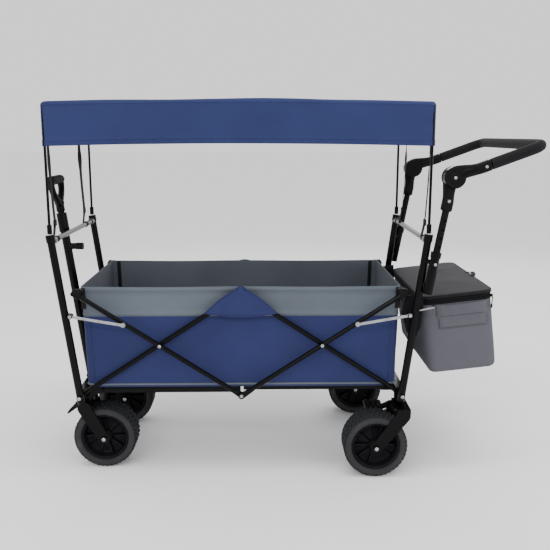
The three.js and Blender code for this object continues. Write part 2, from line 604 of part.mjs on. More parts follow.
// ---------- assembly ----------
for (const [endName, end] of ENDS) {
  endBeam(endName, end);
  crossbar(`${endName}_crossbar`, end);
  canopyHoop(`${endName}_canopy_hoop`, end);
  baseFrame(endName, end);
  for (const [sideName, side] of SIDES) {
    post(`${endName}_post_${sideName}`, end, side);
    link(`${endName}_link_${sideName}`, end, side);
  }
}
scissorArms();
for (const [sideName, side] of SIDES) {
  caster(`caster_${sideName}`, side);
  casterLock(`caster_lock_${sideName}`, side);
  rearFork(`rear_fork_${sideName}`, side);
  brakePedal(`brake_pedal_${sideName}`, side);
  wheel(`front_${sideName}`, -CASTER_HUB_X, side * CASTER_Y);
  wheel(`rear_${sideName}`, REAR_HUB_X, side * REAR_WHEEL_Y);
  pushSocket(`push_socket_${sideName}`, side);
  pushButton(`push_button_${sideName}`, side);
  pushLeg(`push_leg_${sideName}`, side);
}
pushBow();
pushGrip();
pullHandle();
tub();
floorMat();
canopy();
coolerBag();

// The origin is on the ground, at the middle of the outer length.
const outerBox = new THREE.Box3().setFromObject(wagon, true);
wagon.position.x = -(outerBox.min.x + outerBox.max.x) / 2;

export default wagon;
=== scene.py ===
# The looks of the folding camp wagon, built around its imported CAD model.
# Metres, +Z up, -X is the front (pull handle), +X the rear (push handle), -Y the left side.
import bisect
import json
import math
import bmesh
import bpy
from mathutils import Matrix, Vector, noise


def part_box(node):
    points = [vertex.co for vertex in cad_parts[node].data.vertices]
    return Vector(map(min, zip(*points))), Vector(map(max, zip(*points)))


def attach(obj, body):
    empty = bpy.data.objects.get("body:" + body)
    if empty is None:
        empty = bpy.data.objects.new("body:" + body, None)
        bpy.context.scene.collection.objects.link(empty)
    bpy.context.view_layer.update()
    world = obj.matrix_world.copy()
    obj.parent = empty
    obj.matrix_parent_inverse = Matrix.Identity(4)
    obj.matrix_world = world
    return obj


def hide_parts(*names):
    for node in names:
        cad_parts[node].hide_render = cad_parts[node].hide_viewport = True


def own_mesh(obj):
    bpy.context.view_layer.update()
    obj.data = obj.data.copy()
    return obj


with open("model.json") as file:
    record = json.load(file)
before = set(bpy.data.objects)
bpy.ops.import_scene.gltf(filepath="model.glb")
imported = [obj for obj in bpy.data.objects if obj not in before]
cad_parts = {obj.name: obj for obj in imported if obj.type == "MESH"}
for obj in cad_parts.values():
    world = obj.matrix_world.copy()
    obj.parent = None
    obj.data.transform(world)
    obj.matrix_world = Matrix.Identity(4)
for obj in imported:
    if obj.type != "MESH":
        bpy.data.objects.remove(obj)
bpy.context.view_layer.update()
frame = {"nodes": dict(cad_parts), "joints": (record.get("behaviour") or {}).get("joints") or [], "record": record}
NODES = frame["nodes"]
PIVOT = {j["name"]: Vector(j["pos_m"]) for j in frame["joints"] if "pos_m" in j}
MM = 0.001
SIDES = (("left", -1), ("right", 1))
ENDS = (("front", -1), ("rear", 1))
CORNERS = [(sx, sy) for sx in (-1, 1) for sy in (-1, 1)]
X, Y, Z = Vector((1, 0, 0)), Vector((0, 1, 0)), Vector((0, 0, 1))


# ---------- camera, floor and light ----------
CAMERA_AT = (-0.0606, -2.2914, 0.9936)
CAMERA_DOWN = math.radians(10.91)
CAMERA_TURN = math.radians(-0.9)
CAMERA_LENS = 47.84


def make_camera():
    data = bpy.data.cameras.new("camera")
    data.lens = CAMERA_LENS
    camera = bpy.data.objects.new("camera", data)
    camera.location = CAMERA_AT
    camera.rotation_euler = (math.pi / 2 - CAMERA_DOWN, 0, CAMERA_TURN)
    bpy.context.scene.collection.objects.link(camera)
    bpy.context.scene.camera = camera


def make_lamp(name, place, target, size, power):
    data = bpy.data.lights.new(name, "AREA")
    data.shape = "RECTANGLE"
    data.size, data.size_y = size
    data.energy = power
    lamp = bpy.data.objects.new(name, data)
    lamp.location = place
    lamp.rotation_euler = (Vector(target) - Vector(place)).to_track_quat("-Z", "Y").to_euler()
    bpy.context.scene.collection.objects.link(lamp)


def make_studio():
    world = bpy.data.worlds.new("studio")
    world.use_nodes = True
    sky = world.node_tree.nodes["Background"]
    sky.inputs["Color"].default_value = (1.0, 1.0, 1.0, 1.0)
    sky.inputs["Strength"].default_value = 1.2
    bpy.context.scene.world = world
    make_lamp("key", (-1.2, -3.2, 2.6), (0, 0, 0.5), (2.6, 0.3), 46)
    make_lamp("fill", (2.8, -2.4, 1.8), (0, 0, 0.5), (2.2, 2.2), 22)
    make_lamp("top", (0.1, -0.5, 3.2), (0, 0, 0.4), (3.2, 0.5), 45)
    make_lamp("back", (0.8, 3.2, 2.4), (0, 0, 0.5), (2.4, 2.4), 30)


# ---------- materials ----------
class Paint:
    """A node material that is put together step by step around one Principled shader."""

    def __init__(self, name, roughness, metallic=0.0, sheen=0.0, specular=0.5, ior=1.5):
        self.material = bpy.data.materials.new(name)
        self.material.use_nodes = True
        self.tree = self.material.node_tree
        self.shader = self.tree.nodes["Principled BSDF"]
        self.shader.inputs["Roughness"].default_value = roughness
        self.shader.inputs["Metallic"].default_value = metallic
        self.shader.inputs["Sheen Weight"].default_value = sheen
        self.shader.inputs["IOR"].default_value = ior
        self.shader.inputs["Specular IOR Level"].default_value = specular
        self.place = self.tree.nodes.new("ShaderNodeTexCoord").outputs["Object"]
        self.normal = None

    def node(self, kind, links=(), **values):
        made = self.tree.nodes.new("ShaderNode" + kind)
        for key, value in values.items():
            if hasattr(made, key):
                setattr(made, key, value)
            else:
                made.inputs[key.replace("_", " ").title()].default_value = value
        for socket, source in links:
            self.tree.links.new(source, made.inputs[socket])
        return made

    def noise(self, scale, detail=3.0, rough=0.55):
        made = self.node("TexNoise", [("Vector", self.place)], scale=scale, detail=detail, roughness=rough)
        return made.outputs["Fac"]

    def ramp(self, fac, stops):
        made = self.node("ValToRGB", [("Fac", fac)])
        band = made.color_ramp
        while len(band.elements) < len(stops):
            band.elements.new(0.5)
        for element, (where, colour) in zip(band.elements, stops):
            element.position = where
            element.color = (*colour, 1.0)
        return made.outputs["Color"]

    def math(self, operation, a, b):
        made = self.node("Math", operation=operation)
        for socket, value in zip(made.inputs, (a, b)):
            if isinstance(value, (int, float)):
                socket.default_value = value
            else:
                self.tree.links.new(value, socket)
        return made.outputs["Value"]

    def threads(self, pitch):
        """Over-and-under threads: bands along the three axes, so that every flat face shows a weave."""
        bands = []
        for direction in "XYZ":
            wave = self.node("TexWave", [("Vector", self.place)], bands_direction=direction,
                             scale=math.pi / (10 * pitch), distortion=0.35, detail=1.0)
            bands.append(wave.outputs["Fac"])
        return self.math("ADD", self.math("ADD", bands[0], bands[1]), bands[2])

    def bump(self, height, strength, depth):
        made = self.node("Bump", [("Height", height)], strength=strength, distance=depth)
        if self.normal:
            self.tree.links.new(self.normal, made.inputs["Normal"])
        self.normal = made.outputs["Normal"]
        self.tree.links.new(self.normal, self.shader.inputs["Normal"])

    def colour(self, stops, fac):
        self.tree.links.new(self.ramp(fac, stops), self.shader.inputs["Base Color"])

    def gloss(self, fac, low, high):
        made = self.node("MapRange", [("Value", fac)])
        made.inputs["To Min"].default_value = low
        made.inputs["To Max"].default_value = high
        self.tree.links.new(made.outputs["Result"], self.shader.inputs["Roughness"])


def shade(colour, share):
    return tuple(c * share for c in colour)


def cloth(name, colour, pitch=0.9 * MM, weave=0.35, sheen=0.04):
    """Woven polyester: threads, slight unevenness of the dye, and a soft crumple."""
    paint = Paint(name, 0.85, sheen=sheen, specular=0.15)
    weave_height = paint.threads(pitch)
    blotch = paint.noise(5.0, 4.0)
    fleck = paint.noise(700.0, 2.0)
    tone = paint.math("ADD", paint.math("MULTIPLY", blotch, 0.7), paint.math("MULTIPLY", fleck, 0.3))
    paint.colour([(0.3, shade(colour, 0.84)), (0.5, colour), (0.7, shade(colour, 1.16))], tone)
    paint.gloss(fleck, 0.78, 0.92)
    paint.bump(paint.noise(38.0, 4.0), 0.22, 1.5 * MM)
    paint.bump(weave_height, weave, 0.35 * MM)
    return paint.material


def powder_coat(name, colour):
    """Baked paint on steel: fine orange peel, faint rubs where it is handled."""
    paint = Paint(name, 0.2, ior=1.2)
    rub = paint.noise(26.0, 6.0, 0.7)
    paint.colour([(0.0, shade(colour, 0.85)), (0.62, colour), (0.8, shade(colour, 2.2))], rub)
    paint.gloss(rub, 0.11, 0.24)
    paint.bump(paint.noise(900.0, 2.0), 0.12, 0.12 * MM)
    return paint.material


def plated(name, colour):
    """Zinc-plated steel with a drawn grain and dull spots."""
    paint = Paint(name, 0.3, metallic=1.0)
    grain = paint.noise(420.0, 5.0, 0.7)
    tone = paint.noise(60.0, 5.0)
    paint.colour([(0.25, shade(colour, 0.7)), (0.5, colour), (0.8, shade(colour, 1.2))], tone)
    paint.gloss(grain, 0.22, 0.45)
    paint.bump(grain, 0.15, 0.08 * MM)
    return paint.material


def plastic(name, colour, roughness=0.5, grain=0.25):
    """Moulded plastic with a fine sparked grain and faint scuffs."""
    paint = Paint(name, roughness, ior=1.2)
    scuff = paint.noise(34.0, 6.0, 0.7)
    paint.colour([(0.2, shade(colour, 0.85)), (0.6, colour), (0.82, shade(colour, 1.7))], scuff)
    paint.gloss(scuff, roughness - 0.08, roughness + 0.12)
    paint.bump(paint.noise(1300.0, 3.0), grain, 0.15 * MM)
    return paint.material


def rubber(name, colour):
    """Dusty tyre rubber."""
    paint = Paint(name, 0.85, specular=0.2)
    dust = paint.noise(18.0, 6.0, 0.65)
    paint.colour([(0.3, shade(colour, 0.75)), (0.55, colour), (0.8, shade(colour, 1.6))], dust)
    paint.gloss(dust, 0.72, 0.95)
    paint.bump(paint.noise(650.0, 4.0), 0.35, 0.25 * MM)
    return paint.material


def foam(name, colour):
    """Closed-cell foam: small pits and a matt skin, with painted shade in the pits and a painted highlight on the
    ridges between them.
    """
    paint = Paint(name, 0.85, sheen=0.03, specular=0.2)
    pit_depth_and_shade = paint.node("TexVoronoi", [("Vector", paint.place)], scale=520.0).outputs["Distance"]
    # The colour follows the depth of the pits: painted shade at their bottoms, painted highlight on the ridges
    # between them.
    paint.colour([(0.0, shade(colour, 0.6)), (0.45, colour), (0.9, shade(colour, 1.5))], pit_depth_and_shade)
    paint.gloss(pit_depth_and_shade, 0.85, 0.98)
    paint.bump(pit_depth_and_shade, 0.5, 0.35 * MM)
    return paint.material


def webbing(name, colour):
    """Ribbed polypropylene tape."""
    paint = Paint(name, 0.7, sheen=0.03, specular=0.25)
    ribs = paint.threads(1.6 * MM)
    fleck = paint.noise(500.0, 3.0)
    paint.colour([(0.3, shade(colour, 0.7)), (0.5, colour), (0.75, shade(colour, 1.6))], fleck)
    paint.gloss(fleck, 0.6, 0.82)
    paint.bump(ribs, 0.6, 0.5 * MM)
    return paint.material


FINISH = {
    "black_steel": powder_coat("black_steel", (0.0022, 0.0022, 0.0028)),
    "grey_steel": powder_coat("grey_steel", (0.085, 0.085, 0.09)),
    "bright_steel": plated("bright_steel", (0.36, 0.365, 0.375)),
    "black_plastic": plastic("black_plastic", (0.0035, 0.0035, 0.0042)),
    "rim_plastic": plastic("rim_plastic", (0.007, 0.007, 0.009), 0.45),
    "tyre_rubber": rubber("tyre_rubber", (0.017, 0.018, 0.02)),
    "foam": foam("foam", (0.0062, 0.006, 0.0072)),
    "blue_fabric": cloth("blue_fabric", (0.023, 0.029, 0.096)),
    "navy_fabric": cloth("navy_fabric", (0.0225, 0.0315, 0.101)),
    "grey_fabric": cloth("grey_fabric", (0.092, 0.092, 0.109)),
    "dark_fabric": cloth("dark_fabric", (0.035, 0.035, 0.04)),
}
BAND_CLOTH = cloth("band_cloth", (0.099, 0.116, 0.139))
LINING = cloth("lining", (0.094, 0.105, 0.125), weave=0.25)
BLACK_CLOTH = cloth("black_cloth", (0.004, 0.004, 0.0058))
TAPE = webbing("tape", (0.005, 0.005, 0.006))
BLUE_THREAD = cloth("blue_thread", (0.017, 0.023, 0.075), pitch=0.4 * MM)
GREY_THREAD = cloth("grey_thread", (0.1, 0.1, 0.105), pitch=0.4 * MM)
BLACK_THREAD = cloth("black_thread", (0.02, 0.02, 0.022), pitch=0.4 * MM)


def make_floor():
    mesh = bpy.data.meshes.new("floor")
    reach = 40.0
    corners = [(-reach, -reach), (reach, -reach), (reach, reach), (-reach, reach)]
    mesh.from_pydata([(x, y, 0.0) for x, y in corners], [], [(0, 1, 2, 3)])
    floor = bpy.data.objects.new("floor", mesh)
    bpy.context.scene.collection.objects.link(floor)
    paint = Paint("floor", 0.9)
    paint.colour([(0.3, (0.92, 0.92, 0.92)), (0.7, (0.95, 0.95, 0.95))], paint.noise(3.0))
    mesh.materials.append(paint.material)


# ---------- shapes ----------
class Shape:
    """Faces gathered for one piece, each with the number of its material."""

    def __init__(self):
        self.verts, self.faces, self.marks = [], [], []

    def add(self, verts, faces, mark=0):
        start = len(self.verts)
        self.verts += [Vector(v) for v in verts]
        self.faces += [tuple(start + i for i in face) for face in faces]
        self.marks += [mark] * len(faces)
        return self

    def move(self, change):
        self.verts = [Vector(change(v)) for v in self.verts]
        return self

    def make(self, name, materials, weld=1e-6):
        mesh = bpy.data.meshes.new(name)
        mesh.from_pydata(self.verts, [], self.faces)
        for material in materials if isinstance(materials, (list, tuple)) else [materials]:
            mesh.materials.append(material)
        mesh.polygons.foreach_set("material_index", self.marks)
        mesh.polygons.foreach_set("use_smooth", [True] * len(mesh.polygons))
        piece = bpy.data.objects.new(name, mesh)
        bpy.context.scene.collection.objects.link(piece)
        tidy_mesh(mesh, weld)
        return piece


def belt(a, b, sides):
    """The faces between two rings of points, which are numbered from a and from b."""
    return [(a + k, b + k, b + (k + 1) % sides, a + (k + 1) % sides) for k in range(sides)]


def quilt(columns, rows):
    """The faces of a grid of points that are listed column by column."""
    row = rows + 1
    return [(i * row + j, (i + 1) * row + j, (i + 1) * row + j + 1, i * row + j + 1)
            for i in range(columns) for j in range(rows)]


def quarter_turn(steps):
    """The angles of a quarter turn, in equal steps."""
    return [k * math.pi / 2 / steps for k in range(1, steps + 1)]


def spaced(start, stop, steps):
    """Equal steps from a start, which is left out, to a stop."""
    return [start + (stop - start) * k / steps for k in range(1, steps + 1)]


def evenly(start, stop, steps):
    """The start, and equal steps from it to the stop."""
    return [start] + spaced(start, stop, steps)


def span(node):
    """The low corner, high corner, middle and half size of a CAD node."""
    low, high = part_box(node)
    return low, high, (low + high) / 2, (high - low) / 2


def tidy_mesh(mesh, weld):
    work = bmesh.new()
    work.from_mesh(mesh)
    bmesh.ops.remove_doubles(work, verts=work.verts, dist=weld)
    bmesh.ops.dissolve_degenerate(work, edges=work.edges, dist=weld)
    bmesh.ops.recalc_face_normals(work, faces=work.faces)
    work.to_mesh(mesh)
    work.free()


def circle(radius, sides):
    return [(radius * math.cos(a), radius * math.sin(a)) for a in
            (2 * math.pi * k / sides for k in range(sides))]


def flat_oval(width, thickness):
    """The section of a tape: flat faces and round edges."""
    half, r = width / 2 - thickness / 2, thickness / 2
    right = [(half + r * math.sin(a), -r * math.cos(a)) for a in (k * math.pi / 4 for k in range(5))]
    return right + [(-u, -v) for u, v in right]


def frames(points, across=None, closed=False):
    """A side and an up direction at each point of a path."""
    count = len(points)
    made, side = [], None
    for i in range(count):
        ahead = points[(i + 1) % count] if closed else points[min(i + 1, count - 1)]
        behind = points[i - 1] if closed or i else points[0]
        tangent = (ahead - behind).normalized()
        if across:
            side = across(i / (count - 1)) if callable(across) else across
        elif side is None:
            side = tangent.orthogonal()
        side = (side - tangent * side.dot(tangent)).normalized()
        made.append((side, tangent.cross(side)))
    return made


def sweep(shape, points, section, across=None, closed=False, mark=0, grow=None):
    """A section carried along a path. grow gives its size at each share of the length."""
    points = [Vector(p) for p in points]
    sides, count = len(section), len(points)
    verts, faces = [], []
    for i, (point, (side, up)) in enumerate(zip(points, frames(points, across, closed))):
        size = grow(i / (count - 1)) if grow else 1.0
        verts += [point + side * (u * size) + up * (v * size) for u, v in section]
    for i in range(count if closed else count - 1):
        faces += belt(i * sides, ((i + 1) % count) * sides, sides)
    if not closed:
        faces += [tuple(range(sides)), tuple(range((count - 1) * sides, count * sides))]
    return shape.add(verts, faces, mark)


def tube(shape, points, radius, sides=20, closed=False, mark=0, grow=None):
    return sweep(shape, points, circle(radius, sides), closed=closed, mark=mark, grow=grow)


def lathe(shape, profile, centre, axis, sides=32, mark=0):
    """A profile of (radius, distance along the axis) turned round an axis."""
    axis = Vector(axis).normalized()
    side = axis.orthogonal().normalized()
    up = axis.cross(side)
    verts, faces = [], []
    for radius, along in profile:
        for u, v in circle(max(radius, 1e-7), sides):
            verts.append(Vector(centre) + axis * along + side * u + up * v)
    for i in range(len(profile) - 1):
        faces += belt(i * sides, (i + 1) * sides, sides)
    return shape.add(verts, faces, mark)


def block(shape, centre, size, axes=(X, Y, Z), edge=0.8 * MM, mark=0):
    """A block with chamfered edges, turned to three axes."""
    half = [s / 2 for s in size]
    edge = min(edge, *(h * 0.45 for h in half))
    verts = []
    for k in range(3):
        for signs in ((a, b, c) for a in (-1, 1) for b in (-1, 1) for c in (-1, 1)):
            place = [s * (h - edge) for s, h in zip(signs, half)]
            place[k] = signs[k] * half[k]
            verts.append(Vector(centre) + sum((ax * p for ax, p in zip(axes, place)), Vector()))

    def corner(k, a, b, c):
        return k * 8 + a * 4 + b * 2 + c
    faces = []
    for a in (0, 1):
        faces += [tuple(corner(0, a, b, c) for b, c in ((0, 0), (1, 0), (1, 1), (0, 1)))]
        faces += [tuple(corner(1, b, a, c) for b, c in ((0, 0), (1, 0), (1, 1), (0, 1)))]
        faces += [tuple(corner(2, b, c, a) for b, c in ((0, 0), (1, 0), (1, 1), (0, 1)))]
        for b in (0, 1):
            faces += [(corner(0, a, b, 0), corner(0, a, b, 1), corner(1, a, b, 1), corner(1, a, b, 0)),
                      (corner(0, a, 0, b), corner(0, a, 1, b), corner(2, a, 1, b), corner(2, a, 0, b)),
                      (corner(1, 0, a, b), corner(1, 1, a, b), corner(2, 1, a, b), corner(2, 0, a, b))]
            faces += [tuple(corner(k, a, b, c) for k in range(3)) for c in (0, 1)]
    return shape.add(verts, faces, mark)


# A ring is a rectangle with round corners, seen from above, with the same number of points at any size.
RING = {"long": 48, "short": 24, "arc": 8}


def ring(half_x, half_y, radius, count=None):
    long, short, arc = (count or RING).values()
    points = []
    for corner, (sx, sy) in enumerate(((1, -1), (1, 1), (-1, 1), (-1, -1))):
        centre = (sx * (half_x - radius), sy * (half_y - radius))
        start = (corner - 1) * math.pi / 2
        for k in range(arc + 1):
            a = start + k * math.pi / 2 / arc
            points.append((centre[0] + radius * math.cos(a), centre[1] + radius * math.sin(a)))
        steps = short if corner % 2 == 0 else long
        ahead = {0: (half_x, half_y - radius), 1: (-half_x + radius, half_y),
                 2: (-half_x, -half_y + radius), 3: (half_x - radius, -half_y)}[corner]
        here = points[-1]
        points += [(here[0] + (ahead[0] - here[0]) * k / steps, here[1] + (ahead[1] - here[1]) * k / steps)
                   for k in range(1, steps)]
    return points


def grid(shape, half_x, half_y, z, count=None, mark=0):
    long, short, _ = (count or RING).values()
    verts = [(-half_x + 2 * half_x * i / long, -half_y + 2 * half_y * j / short, z)
             for i in range(long + 1) for j in range(short + 1)]
    return shape.add(verts, quilt(long, short), mark)


def skin(shape, half, radius, rings, count=None, start=False, end=False):
    """A wall through a list of (inset, z, material) rings, closed at its start or end by a flat grid."""
    loops = [[(x, y, z) for x, y in ring(half[0] - inset, half[1] - inset, max(radius - inset, 0), count)]
             for inset, z, _ in rings]
    total = len(loops[0])
    for i in range(len(loops) - 1):
        faces = [(k, (k + 1) % total, total + (k + 1) % total, total + k) for k in range(total)]
        shape.add(loops[i] + loops[i + 1], faces, rings[i + 1][2])
    for wanted, (inset, z, mark) in ((start, rings[0]), (end, rings[-1])):
        if wanted:
            grid(shape, half[0] - inset, half[1] - inset, z, count, mark)
    return shape


def arc_steps(radius, steps):
    """The inset and the rise of a quarter round, from a wall to a flat top."""
    return [(radius * (1 - math.cos(a)), radius * math.sin(a)) for a in quarter_turn(steps)]


def modify(piece, kind, **values):
    modifier = piece.modifiers.new(kind.lower(), kind)
    for key, value in values.items():
        setattr(modifier, key, value)
    return modifier


def apply_modifiers(piece):
    bpy.context.view_layer.update()
    done = bpy.data.meshes.new_from_object(piece.evaluated_get(bpy.context.evaluated_depsgraph_get()))
    piece.modifiers.clear()
    piece.data = done
    return piece


def thicken(piece, thickness, offset=-1.0):
    modify(piece, "SOLIDIFY", thickness=thickness, offset=offset, use_even_offset=True)
    return apply_modifiers(piece)


# ---------- how the soft pieces move ----------
WALL_SHARPNESS = 24         # how close to a wall of the canopy or the tub its drape begins


def fold_with(piece, body):
    """A soft piece that rides on its body."""
    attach(piece, body)
    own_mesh(piece)
    return piece


def with_tub(piece):
    return fold_with(piece, "tub")


def with_canopy(piece):
    return fold_with(piece, "canopy")


def at_canopy_end(piece, end):
    """A piece that keeps its shape at one end of the canopy."""
    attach(piece, "canopy")
    if end > 0:
        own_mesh(piece)
    return piece


def ripple(place, scale, amount, seed):
    return amount * noise.noise(Vector(place) * scale + Vector((seed, seed * 1.7, seed * 2.3)))


def smooth(share):
    share = max(0.0, min(1.0, share))
    return share * share * (3 - 2 * share)


def at_wall(share, sharpness):
    """Near 1 or -1 at the two walls and near 0 between them."""
    return math.copysign(min(abs(share), 1) ** sharpness, share)


def facing_out(node):
    """Gives the outward direction of the wall that a point on a box-shaped node is nearest to."""
    _, _, middle, half = span(node)

    def outward(p):
        away = p - middle
        if abs(away.y) / half.y > abs(away.x) / half.x:
            return Y * math.copysign(1, away.y)
        return X * math.copysign(1, away.x)
    return outward


def stitches(name, path, outward, material, pitch=5 * MM, length=3 * MM, radius=0.45 * MM):
    """A row of stitches along a path, just proud of the cloth."""
    shape = Shape()
    path = [Vector(p) for p in path]
    reached = [0.0]
    for a, b in zip(path, path[1:]):
        reached.append(reached[-1] + (b - a).length)

    def at(distance):
        i = min(bisect.bisect_right(reached, distance), len(path) - 1)
        step = max(reached[i] - reached[i - 1], 1e-9)
        return path[i - 1].lerp(path[i], (distance - reached[i - 1]) / step)
    for number in range(int(reached[-1] / pitch)):
        start = number * pitch
        lift = outward(at(start)) if callable(outward) else outward
        ends = [at(start + d) + lift * h for d, h in
                ((0, -0.3 * MM), (length * 0.2, radius), (length * 0.8, radius), (length, -0.3 * MM))]
        tube(shape, ends, radius, 5)
    return shape.make(name, material)


# ---------- canopy ----------
CANOPY_CROWN = 8 * MM
CANOPY_ROLL = 11 * MM
CANOPY_CORNER = 30 * MM
CANOPY_HEM = 17 * MM
CANOPY_CLOTH = 1.3 * MM


def canopy_places():
    low, high, middle, half = span("canopy")
    return low, middle, half, high.z - CANOPY_CROWN - 1 * MM


def canopy_drape(v):
    """The hang of the roof cloth: crowned along its length, slack between the hoops, loose at the hem."""
    low, middle, half, edge = canopy_places()
    along, across = (v.x - middle.x) / half.x, (v.y - middle.y) / half.y
    free = 1 - smooth((v.z - low.z) / (edge - low.z))
    top = smooth((v.z - (edge - CANOPY_ROLL)) / CANOPY_ROLL)
    out_x, out_y = at_wall(along, WALL_SHARPNESS), at_wall(across, WALL_SHARPNESS)
    slack = (1 - along ** 4) * (0.25 + 0.75 * free)
    wave = ripple((v.x, 0, 0), 7, 3.4 * MM, 3 + across) * (0.3 + 0.7 * free)
    fold = ripple((v.x, v.z * 1.6, 0), 26, 1.1 * MM, 5 + across)
    near_corner = smooth(1 - (1 - abs(along)) * half.x / 0.16)
    crease = ripple((v.x * 1.5, 0, v.z * 2.2), 24, 2.2 * MM, 9 + across) * near_corner
    move_y = out_y * (-4.0 * MM * slack + wave * slack + fold * 0.7 + crease)
    end_wave = ripple((0, v.y, v.z * 0.5), 9, 2.6 * MM, 13 + along) * (1 - across ** 4)
    move_x = out_x * (end_wave - 2 * MM * (1 - across ** 2))
    lift = CANOPY_CROWN * (1 - along ** 2)
    sag = -7 * MM * (1 - across ** 2) * (1 - along ** 6)
    lift += top * (sag + ripple((v.x * 2.2, v.y * 7, 0), 2.2, 3.0 * MM, 21))
    lift += (1 - top) * free * ripple((v.x, v.y, 0), 5, 1.2 * MM, 27)
    return v.x + move_x, v.y + move_y, v.z + lift


def canopy_ring(inset, z):
    _, middle, half, _ = canopy_places()
    loop = ring(half.x - inset, half.y - inset, CANOPY_CORNER - inset)
    return [Vector(canopy_drape(Vector((middle.x + x, middle.y + y, z)))) for x, y in loop]


def make_canopy():
    low, middle, half, edge = canopy_places()
    fold = 0.9 * MM
    rings = [(fold, low.z, 0), (0.1 * MM, low.z + 0.8 * MM, 0), (0, low.z + 3 * MM, 0),
             (0, low.z + CANOPY_HEM - 2 * MM, 0), (fold, low.z + CANOPY_HEM, 0)]
    rings += [(fold, z, 0) for z in spaced(low.z + CANOPY_HEM, edge - CANOPY_ROLL, 9)]
    rings += [(fold + inset, edge - CANOPY_ROLL + rise, 0) for inset, rise in arc_steps(CANOPY_ROLL, 6)]
    rings += [(fold + inset, edge, 0) for inset in spaced(CANOPY_ROLL, CANOPY_CORNER, 3)]
    shape = skin(Shape(), half, CANOPY_CORNER, rings, end=True)
    shape.move(lambda v: v + Vector((middle.x, middle.y, 0))).move(canopy_drape)
    roof = thicken(shape.make("canopy_cloth", FINISH["navy_fabric"]), CANOPY_CLOTH)
    with_canopy(roof)
    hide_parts("canopy")
    trims = [make_canopy_seams(), make_canopy_stitches(), make_corner_pockets()]


def make_canopy_seams():
    """The felled seam down each corner and round the roof edge."""
    low, middle, half, edge = canopy_places()
    shape = Shape()
    diagonal = CANOPY_CORNER * (1 - 0.7071)
    for sx, sy in CORNERS:
        x, y = middle.x + sx * (half.x - diagonal), middle.y + sy * (half.y - diagonal)
        line = [Vector(canopy_drape(Vector((x, y, z)))) for z in evenly(low.z, edge - CANOPY_ROLL, 12)]
        tube(shape, [p + Vector((sx, sy, 0)) * 0.2 * MM for p in line], 1.2 * MM, 8)
    tube(shape, canopy_ring(1.2 * MM, edge - CANOPY_ROLL + 1 * MM), 1.1 * MM, 8, closed=True)
    return with_canopy(shape.make("canopy_seams", FINISH["navy_fabric"]))


def make_canopy_stitches():
    low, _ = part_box("canopy")
    loop = canopy_ring(-0.1 * MM, low.z + CANOPY_HEM - 4 * MM)
    loop.append(loop[0])
    row = stitches("canopy_stitches", loop, facing_out("canopy"), BLUE_THREAD)
    return with_canopy(row)


def make_corner_pockets():
    """Doubled cloth sewn inside each corner, where the hoop pushes up."""
    _, middle, half, edge = canopy_places()
    shape = Shape()
    bend = CANOPY_CORNER - 3.6 * MM
    steps = 8
    for sx, sy in CORNERS:
        for k in range(steps):
            angles = [k * math.pi / 2 / steps, (k + 1) * math.pi / 2 / steps]
            quad = []
            for z, order in ((edge - 58 * MM, angles), (edge - 12 * MM, angles[::-1])):
                for a in order:
                    x = middle.x + sx * (half.x - CANOPY_CORNER + bend * math.cos(a))
                    y = middle.y + sy * (half.y - CANOPY_CORNER + bend * math.sin(a))
                    quad.append(canopy_drape(Vector((x, y, z))))
            shape.add(quad, [(0, 1, 2, 3)])
    pockets = thicken(shape.make("canopy_corner_pockets", FINISH["navy_fabric"]), 1 * MM)
    return with_canopy(pockets)


STRAP_WIDTH = 17 * MM
STRAP_THICK = 1.6 * MM
STRAP_Y = (-0.2, 0.15)
BAR_RADIUS = 7.5 * MM       # the crossbars that the tapes go round


def strap_face(number):
    """Gives a tape's wide direction, which twists a little on the way down."""
    turn, twist = (0.2, 0.8) if number else (0.08, 0.3)

    def face(share):
        bend = turn + 0.5 * math.exp(-((share - 0.3) / 0.1) ** 2) * twist
        return Vector((math.sin(bend), math.cos(bend), 0))
    return face


def wrap_bar(shape, bar, loop_top, end):
    """The tape's way round the crossbar, from its buckle and back to it."""
    wrap = BAR_RADIUS + STRAP_THICK / 2 + 0.4 * MM
    angles = evenly(math.radians(-62), math.radians(242), 20)
    around = [Vector((bar.x + wrap * math.sin(a), loop_top.y, bar.z + wrap * math.cos(a))) for a in angles]
    if end < 0:
        around.reverse()
    gap = X * end * 1.2 * MM
    path = [loop_top - gap] + around + [loop_top + gap]
    sweep(shape, path, flat_oval(STRAP_WIDTH * 0.95, STRAP_THICK), across=Y)


def make_canopy_straps():
    """Adjustable tapes from the roof's end hems down to the crossbars, each with its buckle and loop."""
    roof_low, roof_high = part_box("canopy")
    for end_name, end in ENDS:
        bar = span(end_name + "_crossbar")[2]
        roof_x = (roof_low.x if end < 0 else roof_high.x) - end * 4.6 * MM
        for number, y in enumerate(STRAP_Y):
            top = Vector((roof_x, y, roof_low.z + 30 * MM))
            hem = Vector((roof_x, y, roof_low.z - 4 * MM))
            loop_top = Vector((bar.x + end * 1.5 * MM, y, bar.z + 46 * MM))
            line = [top, top.lerp(hem, 0.5), hem]
            for share in spaced(0, 1, 14):
                line.append(hem.lerp(loop_top, share) + X * (end * 1.5 * MM * math.sin(math.pi * share)))
            shape = Shape()
            sweep(shape, line, flat_oval(STRAP_WIDTH, STRAP_THICK), across=strap_face(number))
            wrap_bar(shape, bar, loop_top, end)
            strap = shape.make(f"canopy_strap_{end_name}_{number + 1}", TAPE)
            at_canopy_end(strap, end)
            at_canopy_end(make_strap_buckle(loop_top, end_name, number), end)


def make_strap_buckle(place, end_name, number):
    """A ladder-lock slider that the tape runs through."""
    shape = Shape()
    wide, tall, thick = STRAP_WIDTH + 7 * MM, 17 * MM, 4.5 * MM
    for dz in (-1, 0, 1):
        block(shape, place + Z * dz * (tall / 2 - 1.5 * MM), (thick, wide, 3 * MM), edge=1 * MM)
    for dy in (-1, 1):
        block(shape, place + Y * dy * (wide / 2 - 1.5 * MM), (thick, 3 * MM, tall), edge=1 * MM)
    return shape.make(f"canopy_buckle_{end_name}_{number + 1}", FINISH["black_plastic"])


